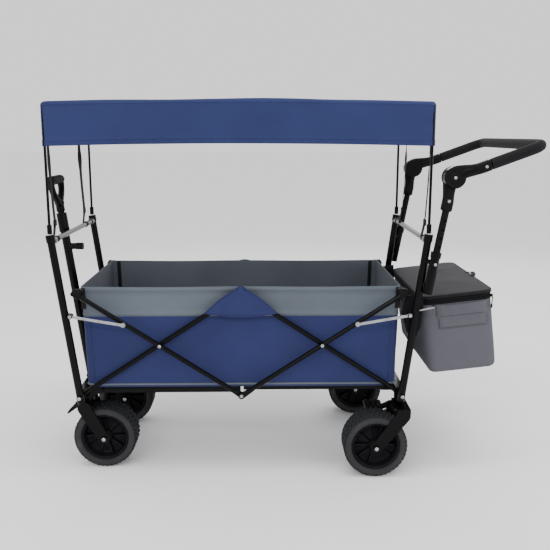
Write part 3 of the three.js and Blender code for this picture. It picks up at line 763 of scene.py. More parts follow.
# ---------- tub ----------
TUB_CORNER = 20 * MM
TUB_SEAM = 219 * MM         # floor of the tub to the seam under the grey band
TUB_WALL = 4 * MM


def tub_drape(v):
    """Slack cloth between the corners, and ends that lean out a little towards the rim."""
    low, high, middle, half = span("tub")
    height = (v.z - low.z) / (high.z - low.z)
    along, across = (v.x - middle.x) / half.x, (v.y - middle.y) / half.y
    out_x, out_y = at_wall(along, WALL_SHARPNESS), at_wall(across, WALL_SHARPNESS)
    bow = math.sin(math.pi * max(0, min(1, height))) if 0 < height < 1 else 0
    slack = (1 - along ** 4) * bow
    fold = ripple((v.x, v.z, across), 8, 2.0 * MM, 31) + ripple((v.x * 1.3, v.z, across), 22, 0.8 * MM, 37)
    move_y = -out_y * (1.6 * MM * slack + abs(fold) * (0.35 + bow))
    end_fold = ripple((along, v.y, v.z), 9, 3.0 * MM, 41)
    move_x = -out_x * (3.0 * MM * bow * (1 - across ** 4) + abs(end_fold) * bow)
    move_x -= (v.x - middle.x) * 0.0172 * (1 - height)
    dip = 2.4 * MM * math.sin(math.pi * along) ** 2 * smooth((height - 0.8) / 0.2) * abs(out_y)
    return v.x + move_x, v.y + move_y, v.z - dip


def tub_point(along, across, z):
    """A point of the outer wall: along and across are distances from the tub's middle."""
    return Vector(tub_drape(Vector((span("tub")[2].x + along, across, z))))


def make_tub():
    low, high, middle, half = span("tub")
    foot, lip, fold = 13 * MM, TUB_WALL / 2, 0.8 * MM
    seam = low.z + TUB_SEAM
    quarter = quarter_turn(4)
    rings = [(TUB_CORNER, low.z, 0), (foot, low.z, 0)]
    rings += [(foot - foot * math.sin(a), low.z + foot * (1 - math.cos(a)), 0) for a in quarter]
    rings += [(0, z, 0) for z in spaced(low.z + foot, seam - 1 * MM, 14)]
    rings += [(0, seam, 1), (-fold, seam + 0.6 * MM, 1), (-fold, seam + 8 * MM, 1), (0, seam + 8.6 * MM, 1)]
    rings += [(0, z, 1) for z in spaced(seam + 9 * MM, high.z - 14 * MM, 5)]
    rings += [(-fold, high.z - 13.4 * MM, 1), (-fold, high.z - lip, 1)]
    rings += [(lip - lip * math.cos(a), high.z - lip + lip * math.sin(a), 1) for a in quarter]
    rings += [(lip + lip * math.sin(a), high.z - lip + lip * math.cos(a), 2) for a in quarter]
    rings += [(TUB_WALL, z, 2) for z in spaced(high.z - lip, low.z + TUB_WALL + foot, 16)]
    rings += [(TUB_WALL + foot * (1 - math.cos(a)), low.z + TUB_WALL + foot * (1 - math.sin(a)), 2)
              for a in quarter]
    rings += [(TUB_CORNER, low.z + TUB_WALL, 2)]
    shape = skin(Shape(), half, TUB_CORNER, rings, start=True)
    grid(shape, half.x - TUB_CORNER, half.y - TUB_CORNER, low.z + TUB_WALL, mark=2)
    shape.move(lambda v: v + Vector((middle.x, middle.y, 0))).move(tub_drape)
    tub = shape.make("tub_cloth", [FINISH["blue_fabric"], BAND_CLOTH, LINING])
    with_tub(tub)
    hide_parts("tub")
    trims = [make_tub_welt(), make_tub_seams(), make_tub_stitches(), make_inside_tapes(), make_corner_tabs()]
    trims += [make_joint_flap(name, side) for name, side in SIDES]
    for name, side in SIDES:
        trims += stitch_joint_flap(name, side)


def tub_ring(inset, z):
    _, _, middle, half = span("tub")
    return [Vector(tub_drape(Vector((middle.x + x, middle.y + y, z))))
            for x, y in ring(half.x - inset, half.y - inset, TUB_CORNER - inset)]


def make_tub_welt():
    """The pale piping round the foot of the walls."""
    low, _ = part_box("tub")
    shape = tube(Shape(), tub_ring(0.4 * MM, low.z + 12 * MM), 3.1 * MM, 10, closed=True)
    return with_tub(shape.make("tub_welt", BAND_CLOTH))


def tub_corner_lines(inset, proud, start, stop, steps):
    """A line up each side wall near each corner of the tub, proud of its outer face."""
    half = span("tub")[3]
    return [[tub_point(sx * (half.x - inset), sy * (half.y + proud), z) for z in spaced(start, stop, steps)]
            for sx, sy in CORNERS]


def make_tub_seams():
    """Felled seams of the wall panels, a little in from each corner."""
    low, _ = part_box("tub")
    shape = Shape()
    for line in tub_corner_lines(24 * MM, 0.3 * MM, low.z + 14 * MM, low.z + TUB_SEAM, 12):
        tube(shape, line, 1.3 * MM, 8)
    return with_tub(shape.make("tub_wall_seams", FINISH["blue_fabric"]))


def make_tub_stitches():
    low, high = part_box("tub")
    made = []
    for z, name in ((low.z + TUB_SEAM + 2 * MM, "tub_seam_stitches"), (high.z - 11 * MM, "tub_rim_stitches")):
        loop = tub_ring(-0.8 * MM, z)
        loop.append(loop[0])
        made.append(stitches(name, loop, facing_out("tub"), GREY_THREAD))
    return with_tub(join(made))


def join(pieces):
    """One piece out of several that share a material."""
    shape = Shape()
    for piece in pieces:
        shape.add([v.co for v in piece.data.vertices], [tuple(p.vertices) for p in piece.data.polygons])
    name, material = pieces[0].name, pieces[0].data.materials[0]
    for piece in pieces:
        bpy.data.objects.remove(piece)
    return shape.make(name + "_all", material)


def make_inside_tapes():
    """Black tapes sewn down the lining in the four corners."""
    low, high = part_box("tub")
    shape = Shape()
    start, stop = low.z + 22 * MM, high.z - 2 * MM
    for line in tub_corner_lines(TUB_CORNER + 6 * MM, -TUB_WALL - 1.0 * MM, start, stop, 14):
        sweep(shape, line, flat_oval(12 * MM, 1.4 * MM), across=X)
    return with_tub(shape.make("tub_inside_tapes", TAPE))


def make_corner_tabs():
    """Short tapes on the outside of the corners, which hold the rim to the frame."""
    _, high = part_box("tub")
    shape = Shape()
    for line in tub_corner_lines(8 * MM, 1.1 * MM, high.z - 74 * MM, high.z - 3 * MM, 8):
        sweep(shape, line, flat_oval(14 * MM, 1.4 * MM), across=X)
    return with_tub(shape.make("tub_corner_tabs", TAPE))


# The peaked flap over the joint where two long arms meet at the rim.
FLAP_HALF = 104 * MM
FLAP_TALL = 75 * MM
FLAP_BLUNT = 0.05           # how round the peak is, as a share of FLAP_HALF
FLAP_DROP = 11 * MM         # how far the lower edge hangs below the two corners
FLAP_OUT = 20.5 * MM        # how far the cloth stands out over the arms


def flap_point(side, s, t):
    """s runs across from -1 to 1, t from the peaked upper edge to the curved lower one."""
    _, high, middle, half = span("tub")
    x = s * FLAP_HALF
    blunt = math.sqrt(s * s + FLAP_BLUNT ** 2) - FLAP_BLUNT
    peak = high.z + 1.5 * MM - FLAP_TALL * blunt / (math.sqrt(1 + FLAP_BLUNT ** 2) - FLAP_BLUNT)
    peak += 6 * MM * math.sin(math.pi * abs(s))
    foot = high.z + 1.5 * MM - FLAP_TALL - FLAP_DROP * (1 - s * s)
    over_top = smooth((abs(x) - 3 * MM) / (14 * MM))
    rise = smooth(t / 0.09)
    out = max(over_top, rise) * (1 - 0.04 * math.sin(7 * s + 5 * t))
    y = half.y + 1.6 * MM + FLAP_OUT * out + ripple((x, t * 0.08, side), 40, 0.8 * MM, 51) * out
    return Vector((middle.x + x, side * y, peak + (foot - peak) * t))


def make_joint_flap(name, side):
    shape = Shape()
    across, down = 40, 18
    verts = [flap_point(side, s, t) for s in evenly(-1, 1, across) for t in evenly(0, 1, down)]
    shape.add(verts, quilt(across, down))
    flap = thicken(shape.make(f"tub_joint_flap_{name}", FINISH["blue_fabric"]), 1.2 * MM, offset=0.0)
    return with_tub(flap)


def stitch_joint_flap(name, side):
    """The bound edges of the flap, and the stitches beside them."""
    shape = Shape()
    steps = 48
    for t in (0.0, 1.0):
        tube(shape, [flap_point(side, s, t) for s in evenly(-1, 1, steps)], 1.5 * MM, 8)
    binding = shape.make(f"tub_flap_binding_{name}", FINISH["blue_fabric"])
    rows = []
    for t in (0.05, 0.94):
        line = [flap_point(side, s, t) + Y * side * 0.7 * MM for s in evenly(-0.97, 0.97, steps)]
        rows.append(stitches(f"tub_flap_stitches_{name}", line, Y * side, BLUE_THREAD))
    return [with_tub(piece) for piece in (binding, join(rows))]


# ---------- floor mat ----------
MAT_PANELS = 4
MAT_GAP = 7 * MM
MAT_COUNT = {"long": 16, "short": 30, "arc": 5}
PUFF_FRAMES = 20


def puff(piece, cap):
    """Pressure in a closed cloth fills a pad out. No point moves further than the cap."""
    modify(piece, "REMESH", mode="VOXEL", voxel_size=5 * MM, use_smooth_shade=True)
    apply_modifiers(piece)
    start = [v.co.copy() for v in piece.data.vertices]
    settings = modify(piece, "CLOTH").settings
    settings.use_pressure = True
    settings.uniform_pressure_force = 4.0
    settings.effector_weights.gravity = 0.0
    scene = bpy.context.scene
    for number in range(1, PUFF_FRAMES + 1):
        scene.frame_set(number)
    apply_modifiers(piece)
    for vertex, place in zip(piece.data.vertices, start):
        step = vertex.co - place
        if step.length > cap:
            vertex.co = place + step * (cap / step.length)
    scene.frame_set(1)
    modify(piece, "SUBSURF", levels=1, render_levels=1)
    return apply_modifiers(piece)


def make_mat_panel(number, low, high, width):
    """One padded board, fuller in its middle than at its edges."""
    thick = high.z - low.z
    left = low.x + number * (width + MAT_GAP)
    middle = Vector((left + width / 2, (low.y + high.y) / 2, 0))
    half = Vector((width / 2, (high.y - low.y) / 2, 0))
    corner, edge = 14 * MM, 4 * MM
    rings = [(corner, low.z, 0), (edge, low.z, 0)]
    rings += [(edge * (1 - math.sin(a)), low.z + edge * (1 - math.cos(a)), 0) for a in quarter_turn(3)]
    rings += [(0, high.z - edge, 0)]
    rings += [(inset, high.z - edge + rise, 0) for inset, rise in arc_steps(edge, 3)]
    rings += [(corner, high.z, 0)]

    def pad(v):
        u, w = v.x / half.x, v.y / half.y
        top = smooth((v.z - low.z) / thick)
        soft = (1 - abs(u) ** 3) * (1 - abs(w) ** 6)
        wave = soft * ripple((v.x + middle.x, v.y, 0), 16, 1.0 * MM, 61)
        return v.x + middle.x, v.y + middle.y, v.z + top * (2.4 * MM * soft - 1.4 * MM + wave)
    shape = skin(Shape(), half, corner, rings, MAT_COUNT, start=True, end=True).move(pad)
    return puff(shape.make(f"floor_mat_panel_{number + 1}", FINISH["dark_fabric"]), 2.2 * MM)


def make_floor_mat():
    """Four padded boards with a hinge seam between them."""
    low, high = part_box("floor_mat")
    width = (high.x - low.x - MAT_GAP * (MAT_PANELS - 1)) / MAT_PANELS
    for number in range(MAT_PANELS):
        panel = make_mat_panel(number, low, high, width)
        with_tub(panel)
        if number == 0:
            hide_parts("floor_mat")
    hinge = Shape()
    for number in range(1, MAT_PANELS):
        x = low.x + number * (width + MAT_GAP) - MAT_GAP / 2
        line = [Vector((x, y, low.z + 3 * MM)) for y in evenly(low.y + 6 * MM, high.y - 6 * MM, 12)]
        sweep(hinge, line, flat_oval(MAT_GAP + 6 * MM, 1.6 * MM), across=X)
    with_tub(hinge.make("floor_mat_hinges", FINISH["dark_fabric"]))


# ---------- cooler bag ----------
BAG_TILT = math.radians(6.3)
BAG_OUT = Vector((math.cos(BAG_TILT), 0, math.sin(BAG_TILT)))
BAG_DOWN = Vector((math.sin(BAG_TILT), 0, -math.cos(BAG_TILT)))
BAG_CORNER = PIVOT["bag_lid_hinge"] - Z * 6 * MM
BAG_DEPTH = 210 * MM
BAG_TALL = 217 * MM
BAG_TAPER = 12 * MM
BAG_ROUND = 27 * MM
BAG_HALF_Y = 229.5 * MM
ZIP_BAND = 17 * MM
BAG_SHARPNESS = 16          # the same for the bag
BAG_COUNT = {"long": 20, "short": 40, "arc": 8}


def bag_at(out, y, down):
    return BAG_CORNER + BAG_OUT * out + Y * y + BAG_DOWN * down


def bag_drape(v):
    """From the bag's own upright block (middle, side, height below zero) to its hung, bellied shape."""
    down = -v.z
    share = max(0.0, min(1.0, down / BAG_TALL))
    along, across = v.x / (BAG_DEPTH / 2), v.y / BAG_HALF_Y
    out_x, out_y = at_wall(along, BAG_SHARPNESS), at_wall(across, BAG_SHARPNESS)
    belly = math.sin(math.pi * share)
    wave = ripple((v.x, across, down), 13, 3.0 * MM, 71) * share
    x = v.x * (1 - BAG_TAPER / (BAG_DEPTH / 2) * share) if v.x < 0 else v.x * (1 + 0.03 * share)
    y = v.y + out_y * (2.2 * MM * belly * (1 - along ** 4) + wave * (1 - along ** 6))
    end_wave = ripple((along, v.y, down), 11, 3.4 * MM, 75) * share * (1 - across ** 6)
    x += out_x * (2.6 * MM * belly * (1 - across ** 4) + end_wave)
    down += 9 * MM * share ** 3 + 4 * MM * share ** 6 * (1 - along ** 2) * (1 - across ** 2)
    return bag_at(BAG_DEPTH / 2 + x, y, down)


def make_bag():
    half = (BAG_DEPTH / 2, BAG_HALF_Y)
    foot, wall = 12 * MM, 4 * MM
    quarter = quarter_turn(5)
    rings = [(BAG_ROUND, -BAG_TALL, 0), (foot, -BAG_TALL, 0)]
    rings += [(foot - foot * math.sin(a), -BAG_TALL + foot * (1 - math.cos(a)), 0) for a in quarter]
    rings += [(0, z, 0) for z in spaced(-BAG_TALL + foot, -ZIP_BAND - 1 * MM, 16)]
    rings += [(0, -ZIP_BAND, 1), (-1.4 * MM, -ZIP_BAND + 0.5 * MM, 1), (-1.4 * MM, -10.5 * MM, 1)]
    rings += [(-0.2 * MM, -9.5 * MM, 1), (-0.2 * MM, -8.5 * MM, 1)]
    rings += [(-1.4 * MM, -7.5 * MM, 1), (-1.4 * MM, -1.6 * MM, 1)]
    rings += [(0, -0.6 * MM, 1), (wall, -0.6 * MM, 2)]
    rings += [(wall, z, 2) for z in spaced(-0.6 * MM, -BAG_TALL + wall + foot, 10)]
    rings += [(wall + foot * (1 - math.cos(a)), -BAG_TALL + wall + foot * (1 - math.sin(a)), 2)
              for a in quarter]
    rings += [(BAG_ROUND, -BAG_TALL + wall, 2)]
    shape = skin(Shape(), half, BAG_ROUND, rings, BAG_COUNT, start=True, end=True)
    bag = shape.move(bag_drape).make("bag_shell", [FINISH["grey_fabric"], BLACK_CLOTH, LINING])
    hang(bag, "rear_frame")
    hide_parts("bag_body")
    trims = [make_bag_pocket(side) for _, side in SIDES] + [make_bag_gusset(side) for _, side in SIDES]
    trims += [make_bag_stitches(), make_zip_teeth()]
    make_bag_lid()
    make_zip_slider()
    make_bag_hooks()


def hang(piece, body):
    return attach(piece, body)


def bag_side(out, down, side, proud):
    """A point on the bag's side wall, standing proud of the cloth."""
    return bag_drape(Vector((out - BAG_DEPTH / 2, side * BAG_HALF_Y, -down))) + Y * side * proud


def bag_patch(shape, side, outs, downs, proud):
    """A sewn-on panel: flush round its edges and full in the middle."""
    across, tall = 26, 12
    verts = []
    for i in range(across + 1):
        for j in range(tall + 1):
            s, t = i / across, j / tall
            full = min(1.0, 9 * min(s, 1 - s)) * min(1.0, 4 * min(t, 1 - t) + 0.25)
            top = downs[0] + (3 * MM * math.sin(math.pi * s))
            out, down = outs[0] + (outs[1] - outs[0]) * s, top + (downs[1] - top) * t
            verts.append(bag_side(out, down, side, 0.8 * MM + proud * smooth(full)))
    return shape.add(verts, quilt(across, tall))


POCKET_OUT = (45 * MM, 191 * MM)


def make_bag_pocket(side):
    """The flat pocket with its hanging flap."""
    shape = bag_patch(Shape(), side, POCKET_OUT, (30 * MM, 92 * MM), 3.0 * MM)
    flap_out = (POCKET_OUT[0] - 3 * MM, POCKET_OUT[1] + 3 * MM)
    bag_patch(shape, side, flap_out, (ZIP_BAND + 1 * MM, 58 * MM), 5.5 * MM)
    pocket = thicken(shape.make(f"bag_pocket_{side + 2}", FINISH["grey_fabric"], 0), 1 * MM, offset=0.0)
    return hang(pocket, "rear_frame")


def make_bag_stitches():
    rows = []
    for _, side in SIDES:
        for down, proud, margin in ((54 * MM, 4.6 * MM, 6 * MM), (88 * MM, 2.6 * MM, 4 * MM)):
            start, stop = POCKET_OUT[0] + margin, POCKET_OUT[1] - margin
            line = [bag_side(out, down, side, 0.9 * MM + proud) for out in evenly(start, stop, 24)]
            rows.append(stitches("bag_stitches", line, Y * side, BLACK_THREAD))
        for out in (POCKET_OUT[0] + 3 * MM, POCKET_OUT[1] - 3 * MM):
            line = [bag_side(out, down, side, 2.4 * MM) for down in spaced(58 * MM, 90 * MM, 6)]
            rows.append(stitches("bag_stitches", line, Y * side, BLACK_THREAD))
    return hang(join(rows), "rear_frame")


def make_zip_teeth():
    """The zip that runs round the band under the lid."""
    loop = [bag_drape(Vector((x, y, -9 * MM)))
            for x, y in ring(BAG_DEPTH / 2, BAG_HALF_Y, BAG_ROUND, BAG_COUNT)]
    loop.append(loop[0])
    middle = bag_at(BAG_DEPTH / 2, 0, 9 * MM)

    def outward(p):
        away = p - middle
        flat = Vector((away.x / BAG_DEPTH, away.y / (2 * BAG_HALF_Y), 0))
        return flat.normalized()
    teeth = stitches("bag_zip_teeth", loop, outward, FINISH["black_plastic"],
                     pitch=2.6 * MM, length=1.4 * MM, radius=0.8 * MM)
    return hang(teeth, "rear_frame")


def make_bag_lid():
    """A padded lid with a bound edge, and the loop that lifts it."""
    _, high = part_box("bag_lid")
    length, thick, edge = BAG_DEPTH + 2 * MM, 11 * MM, 4.5 * MM
    half = (length / 2, high.y - 1 * MM)
    rings = [(BAG_ROUND, 0.8 * MM, 0), (edge, 0.8 * MM, 0)]
    rings += [(edge - edge * math.sin(a), 0.8 * MM + edge * (1 - math.cos(a)), 0) for a in quarter_turn(4)]
    rings += [(0, thick - edge, 0)]
    rings += [(inset, thick - edge + rise, 0) for inset, rise in arc_steps(edge, 4)]
    rings += [(BAG_ROUND, thick, 0)]

    def crown(v):
        u, s = v.x / half[0], v.y / half[1]
        full = (1 - u * u) * (1 - s ** 4)
        top = smooth(v.z / thick)
        rise = top * (3.6 * MM * full - 1.2 * MM + ripple((v.x, v.y, 0), 12, 2.6 * MM, 83) * full)
        rise += top * full * 2.4 * MM * math.exp(-((v.y - 0.09 - 0.5 * v.x) / 0.02) ** 2)
        return bag_at(length / 2 + v.x, v.y, -(v.z + rise))
    lid = skin(Shape(), half, BAG_ROUND, rings, BAG_COUNT, start=True, end=True).move(crown)
    lid = lid.make("bag_lid_pad", FINISH["dark_fabric"])
    hang(lid, "bag_lid")
    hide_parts("bag_lid")
    trim = Shape()
    for height in (2.6 * MM, thick - 2.2 * MM):
        loop = [crown(Vector((x, y, height))) for x, y in ring(*half, BAG_ROUND, BAG_COUNT)]
        tube(trim, loop, 2.0 * MM, 8, closed=True)
    outer = length - 1 * MM
    handle = [bag_at(outer + out, 34 * MM * s, -(6 * MM + up)) for s, out, up in
              ((-1.0, -9 * MM, 5 * MM), (-0.85, 1 * MM, 4 * MM), (-0.5, 5 * MM, 7 * MM), (0, 6 * MM, 10 * MM),
               (0.5, 5 * MM, 7 * MM), (0.85, 1 * MM, 4 * MM), (1.0, -9 * MM, 5 * MM))]
    sweep(trim, handle, flat_oval(14 * MM, 2 * MM), across=BAG_OUT)
    hang(trim.make("bag_lid_binding", TAPE), "bag_lid")


def make_zip_slider():
    """The slider at the outer near corner and its hanging cord pull."""
    place = bag_at(BAG_DEPTH - 4 * MM, -BAG_HALF_Y + 6 * MM, 9 * MM)
    outward = Vector((0.6, -0.8, 0)).normalized()
    along = outward.cross(Z)
    axes = (along, outward, Z)
    shape = Shape()
    block(shape, place + outward * 2.5 * MM, (12 * MM, 5 * MM, 9 * MM), axes, 1.5 * MM)
    block(shape, place + outward * 5.5 * MM, (5 * MM, 3 * MM, 5 * MM), axes, 1 * MM)
    line = [place + outward * (6.5 + bulge) * MM - Z * drop * MM for bulge, drop in
            ((0, 1), (1.2, 5), (0.8, 12), (0.2, 20), (0, 27))]
    tube(shape, line, 1.6 * MM, 8)
    block(shape, line[-1] - Z * 4 * MM, (5 * MM, 3.4 * MM, 12 * MM), axes, 1.2 * MM)
    hang(shape.make("bag_zip_slider", FINISH["black_plastic"]), "rear_frame")


def make_bag_gusset(side):
    """The black side cloth that holds the bag to the post."""
    outline = ((-56, 486), (-39, 430), (-18, 398), (2, 440), (8, 500), (4, 541), (-44, 535))
    corners = [Vector((BAG_CORNER.x + dx * MM, side * 243 * MM, z * MM)) for dx, z in outline]
    middle = sum(corners, Vector()) / len(corners)
    rounds, cuts = 6, 6
    edge = []
    for a, b in zip(corners, corners[1:] + corners[:1]):
        edge += [a.lerp(b, k / cuts) for k in range(cuts)]
    total = len(edge)
    shape = Shape()
    verts = []
    for share in spaced(0, 1, rounds):
        for p in edge:
            q = middle.lerp(p, share)
            verts.append(q + Y * side * (ripple((q.x, q.z, side), 30, 3.0 * MM, 91) - 3 * MM * share ** 3))
    verts.append(middle)
    faces = []
    for inner in range(0, (rounds - 1) * total, total):
        outer = inner + total
        faces += [(inner + k, inner + (k + 1) % total, outer + (k + 1) % total, outer + k)
                  for k in range(total)]
    faces += [(k, (k + 1) % total, len(verts) - 1) for k in range(total)]
    shape.add(verts, faces)
    gusset = thicken(shape.make(f"bag_gusset_{side + 2}", BLACK_CLOTH), 1.4 * MM, offset=0.0)
    return hang(gusset, "rear_frame")


def make_bag_hooks():
    """The plated bars that carry the bag from the posts."""
    for name, side in SIDES:
        start = Vector((BAG_CORNER.x - 10 * MM, side * 268 * MM, 499 * MM))
        line = [start, start + X * 14 * MM + Z * 3 * MM, start + X * 42 * MM + Z * 8 * MM]
        line.append(line[-1] + Vector((4 * MM, -side * 12 * MM, 0)))
        line.append(line[-1] + Vector((0, -side * 20 * MM, -1 * MM)))
        bar = tube(Shape(), line, 2.4 * MM, 12).make(f"bag_hook_{name}", FINISH["bright_steel"])
        hang(bar, "rear_frame")


# ---------- wheels ----------
TREAD_STEPS = 40
RIM_RIBS = 10
SIDEWALL = rubber("sidewall", (0.029, 0.029, 0.031))


def mirrored(profile):
    """A half profile given from the middle outwards, completed on the other side."""
    return [(r, -y) for r, y in profile[::-1]] + profile


def lugs(shape, centre, radius, step):
    """One step of the tread: a block in each of the four rows and one on each shoulder."""
    for row, along in enumerate((-28, -10, 10, 28)):
        radial, tangent = spoke(2 * math.pi * (step + 0.5 * (row % 2)) / TREAD_STEPS)
        lean = 0.35 if row % 2 else -0.35
        axes = ((tangent + Y * lean).normalized(), (Y - tangent * lean).normalized(), radial)
        spot = centre + radial * (radius - 1.7 * MM) + Y * along * MM
        block(shape, spot, (9.6 * MM, 13 * MM, 3.2 * MM), axes, 0.7 * MM)
    for face in (-1, 1):
        radial, tangent = spoke(2 * math.pi * (step + 0.25) / TREAD_STEPS)
        outward = (radial + Y * face * 0.62).normalized()
        axes = (tangent, outward.cross(tangent), outward)
        spot = centre + radial * (radius - 4.4 * MM) + Y * face * 38 * MM
        block(shape, spot, (8.4 * MM, 7 * MM, 4.4 * MM), axes, 0.7 * MM)


def make_tyre(place, centre, radius, body):
    shape = Shape()
    top = radius - 2.2 * MM
    crown = [(top, 4 * MM), (top + 0.4 * MM, 20 * MM), (top - 0.4 * MM, 34 * MM)]
    crown.append((radius - 4.5 * MM, 39.5 * MM))
    lathe(shape, mirrored(crown), centre, Y, sides=96)
    wall = [(4.5, 39.5), (6, 41.4), (7.6, 42.4), (8.4, 42.2), (9.4, 43.4), (14, 44),
            (18.5, 43.2), (21.5, 41), (23, 38), (23.4, 34)]
    for face in (-1, 1):
        profile = [(radius - inset * MM, face * y * MM) for inset, y in wall]
        lathe(shape, profile, centre, Y, sides=96, mark=1)
    for step in range(TREAD_STEPS):
        lugs(shape, centre, radius, step)
    tyre = shape.make(f"wheel_tyre_{place}", [FINISH["tyre_rubber"], SIDEWALL])
    hang(tyre, body)
    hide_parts(f"tyre_{place}")


def spoke(angle):
    """The outward and the onward direction at an angle round a wheel."""
    return Vector((math.cos(angle), 0, math.sin(angle))), Vector((-math.sin(angle), 0, math.cos(angle)))


def make_rim(place, centre, radius, body):
    """A dished wheel centre with ribs between its hub and its barrel."""
    shape = Shape()
    hub = [(6, 42), (14.5, 42), (16.6, 40.5), (18, 15), (23, 11.5)]
    barrel = [(38, 9.5), (32.5, 12.5), (30.5, 32), (29, 35.6), (26.4, 36.6), (24.2, 34.5)]
    profile = [(r * MM, y * MM) for r, y in hub] + [(radius - inset * MM, y * MM) for inset, y in barrel]
    stud = [(0, 12.6 * MM), (4.4 * MM, 12.6 * MM), (5.2 * MM, 11.8 * MM), (5.2 * MM, 9 * MM)]
    nose = [(12 * MM, 43 * MM), (10.5 * MM, 44 * MM), (8 * MM, 43 * MM)]
    for face in (-1, 1):
        lathe(shape, [(r, face * y) for r, y in profile], centre, Y, sides=72)
        for k in range(RIM_RIBS):
            radial, tangent = spoke(2 * math.pi * k / RIM_RIBS)
            lean = (radial * 38 + Y * face * 4).normalized()
            axes = (lean, tangent, lean.cross(tangent))
            spot = centre + radial * 39.5 * MM + Y * face * 16 * MM
            block(shape, spot, (45 * MM, 3.6 * MM, 13 * MM), axes, 0.8 * MM)
            between, _ = spoke(2 * math.pi * (k + 0.5) / RIM_RIBS)
            lathe(shape, stud, centre + between * 48 * MM, Y * face, sides=16)
        lathe(shape, nose, centre, Y * face, sides=32)
    outer = radius - 24.2 * MM
    lathe(shape, [(outer, -34.5 * MM), (outer, 34.5 * MM)], centre, Y, sides=72)
    rim = shape.make(f"wheel_rim_{place}", FINISH["rim_plastic"])
    hang(rim, body)
    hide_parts(f"rim_{place}")


def make_wheels():
    for name, _ in SIDES:
        for end_name, _ in ENDS:
            place = f"{end_name}_{name}"
            _, _, centre, half = span(f"tyre_{place}")
            body = f"{end_name}_wheel_{name}"
            make_tyre(place, centre, half.z, body)
            make_rim(place, centre, half.z, body)


# ---------- bolts and small fittings ----------
def bolt(shape, place, axis, radius, washer=1.2):
    """A domed head on a washer."""
    tall = radius * 0.62
    dome = ((0, 1), (0.45, 0.93), (0.78, 0.68), (0.97, 0.3))
    profile = [(across * radius, height * tall) for across, height in dome]
    rim = washer * radius
    profile += [(radius, 0.9 * MM), (rim, 0.9 * MM), (rim + 0.2 * MM, 0.5 * MM)]
    profile += [(rim, -0.4 * MM), (0, -0.4 * MM)]
    return lathe(shape, profile, place, axis, sides=24)


# The directions of the push handle's legs and of its bow, at rest.
PUSH_LINE = Vector((59, 0, 328)).normalized()
BOW_LINE = Vector((math.cos(math.radians(20)), 0, math.sin(math.radians(20))))


def make_bolts():
    """Plated rivets and bolts, gathered by the body that carries them."""
    groups = {}

    def put(body, place, axis, radius, washer=1.2):
        bolt(groups.setdefault(body, Shape()), place, axis, radius, washer)
    for name, side in SIDES:
        out = Y * side
        for end_name, _ in ENDS:
            scissor = PIVOT[end_name + "_scissor"]
            put(end_name + "_upper_arms", scissor + out * 260.2 * MM, out, 4.0 * MM)
            link_low, link_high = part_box(f"{end_name}_link_{name}")
            face = side * max(abs(link_low.y), abs(link_high.y))
            pin = PIVOT[end_name + "_link_pivot"]
            put(end_name + "_frame", Vector((pin.x, side * 275.2 * MM, pin.z)), out, 4.0 * MM)
            low_end = min(link_low.x, link_high.x) + 7 * MM if end_name == "rear" else link_high.x - 7 * MM
            put(end_name + "_links", Vector((low_end, face, link_low.z + 7 * MM)), out, 3.8 * MM)
            hub = span(f"rim_{end_name}_{name}")[2]
            holder = f"caster_{name}" if end_name == "front" else "rear_frame"
            for face in (-1, 1):
                put(holder, hub + Y * face * 56.2 * MM, Y * face, 5.0 * MM, 1.15)
        put("front_frame", PIVOT["fold"] + out * 272.2 * MM, out, 4.4 * MM)
        put("rear_frame", PIVOT["rear_corner"] + out * 272.2 * MM, out, 4.4 * MM)
        put("rear_upper_arms", PIVOT["bottom_centre"] + out * 258.2 * MM, out, 4.2 * MM)
        put("push_bow", PIVOT["push_angle"] + out * 301.6 * MM, out, 3.6 * MM)
        sleeve = PIVOT["push_angle"] - PUSH_LINE * 66 * MM
        put("push_legs", Vector((sleeve.x, side * 289.4 * MM, sleeve.z)), out, 3.6 * MM)
        arm_end = PIVOT["push_angle"] + BOW_LINE * 88 * MM
        put("push_bow", Vector((arm_end.x, side * 305.2 * MM, arm_end.z)), out, 3.4 * MM)
    for body, shape in groups.items():
        hang(shape.make(f"bolts_{body}", FINISH["bright_steel"]), body)


def make_hinge_covers():
    """Moulded knob covers on the outside of the handle hinges."""
    knobs = Shape()
    rings = ((29, 0), (29, 1.4), (27.6, 2.6), (24.5, 3), (22.4, 1.6), (13.5, 1.6), (12.4, 2.8), (9, 3.2),
             (5.4, 1.4), (0, 1.4))
    profile = [(max(r - 0.6, 0) * MM, (y - 0.3) * MM) for r, y in rings]
    for _, side in SIDES:
        out = Y * side
        centre = PIVOT["push_angle"] + out * 300 * MM
        lathe(knobs, profile, centre, out, sides=48)
        for k in range(12):
            radial, tangent = spoke(2 * math.pi * k / 12)
            spot = centre + radial * 17.6 * MM + out * 1.6 * MM
            block(knobs, spot, (7 * MM, 2 * MM, 1.6 * MM), (radial, tangent, out), 0.5 * MM)
    hang(knobs.make("push_hinge_covers", FINISH["black_plastic"]), "push_bow")


def make_arm_caps():
    """Moulded caps on the upper ends of the crossed arms."""
    for end_name, end in ENDS:
        caps = Shape()
        body = end_name + "_upper_arms"
        for name, side in SIDES:
            low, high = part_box(f"{end_name}_upper_arm_{name}")
            end_x = low.x if end < 0 else high.x
            tip = Vector((end_x - end * 9 * MM, side * 251 * MM, high.z - 9 * MM))
            along = tip - PIVOT[end_name + "_scissor"]
            along = Vector((along.x, 0, along.z)).normalized()
            axes = (along, Y, Y.cross(along))
            block(caps, tip - along * 2 * MM, (30 * MM, 15.6 * MM, 19.4 * MM), axes, 4 * MM)
            corner = Vector((tip.x - end * 6 * MM, side * 243.4 * MM, tip.z + 4 * MM))
            block(caps, corner, (26 * MM, 25 * MM, 17 * MM), edge=5 * MM)
            bolt(caps, tip + Y * side * 7.8 * MM, Y * side, 3.0 * MM)
        hang(caps.make(f"arm_end_caps_{end_name}", FINISH["black_plastic"]), body)


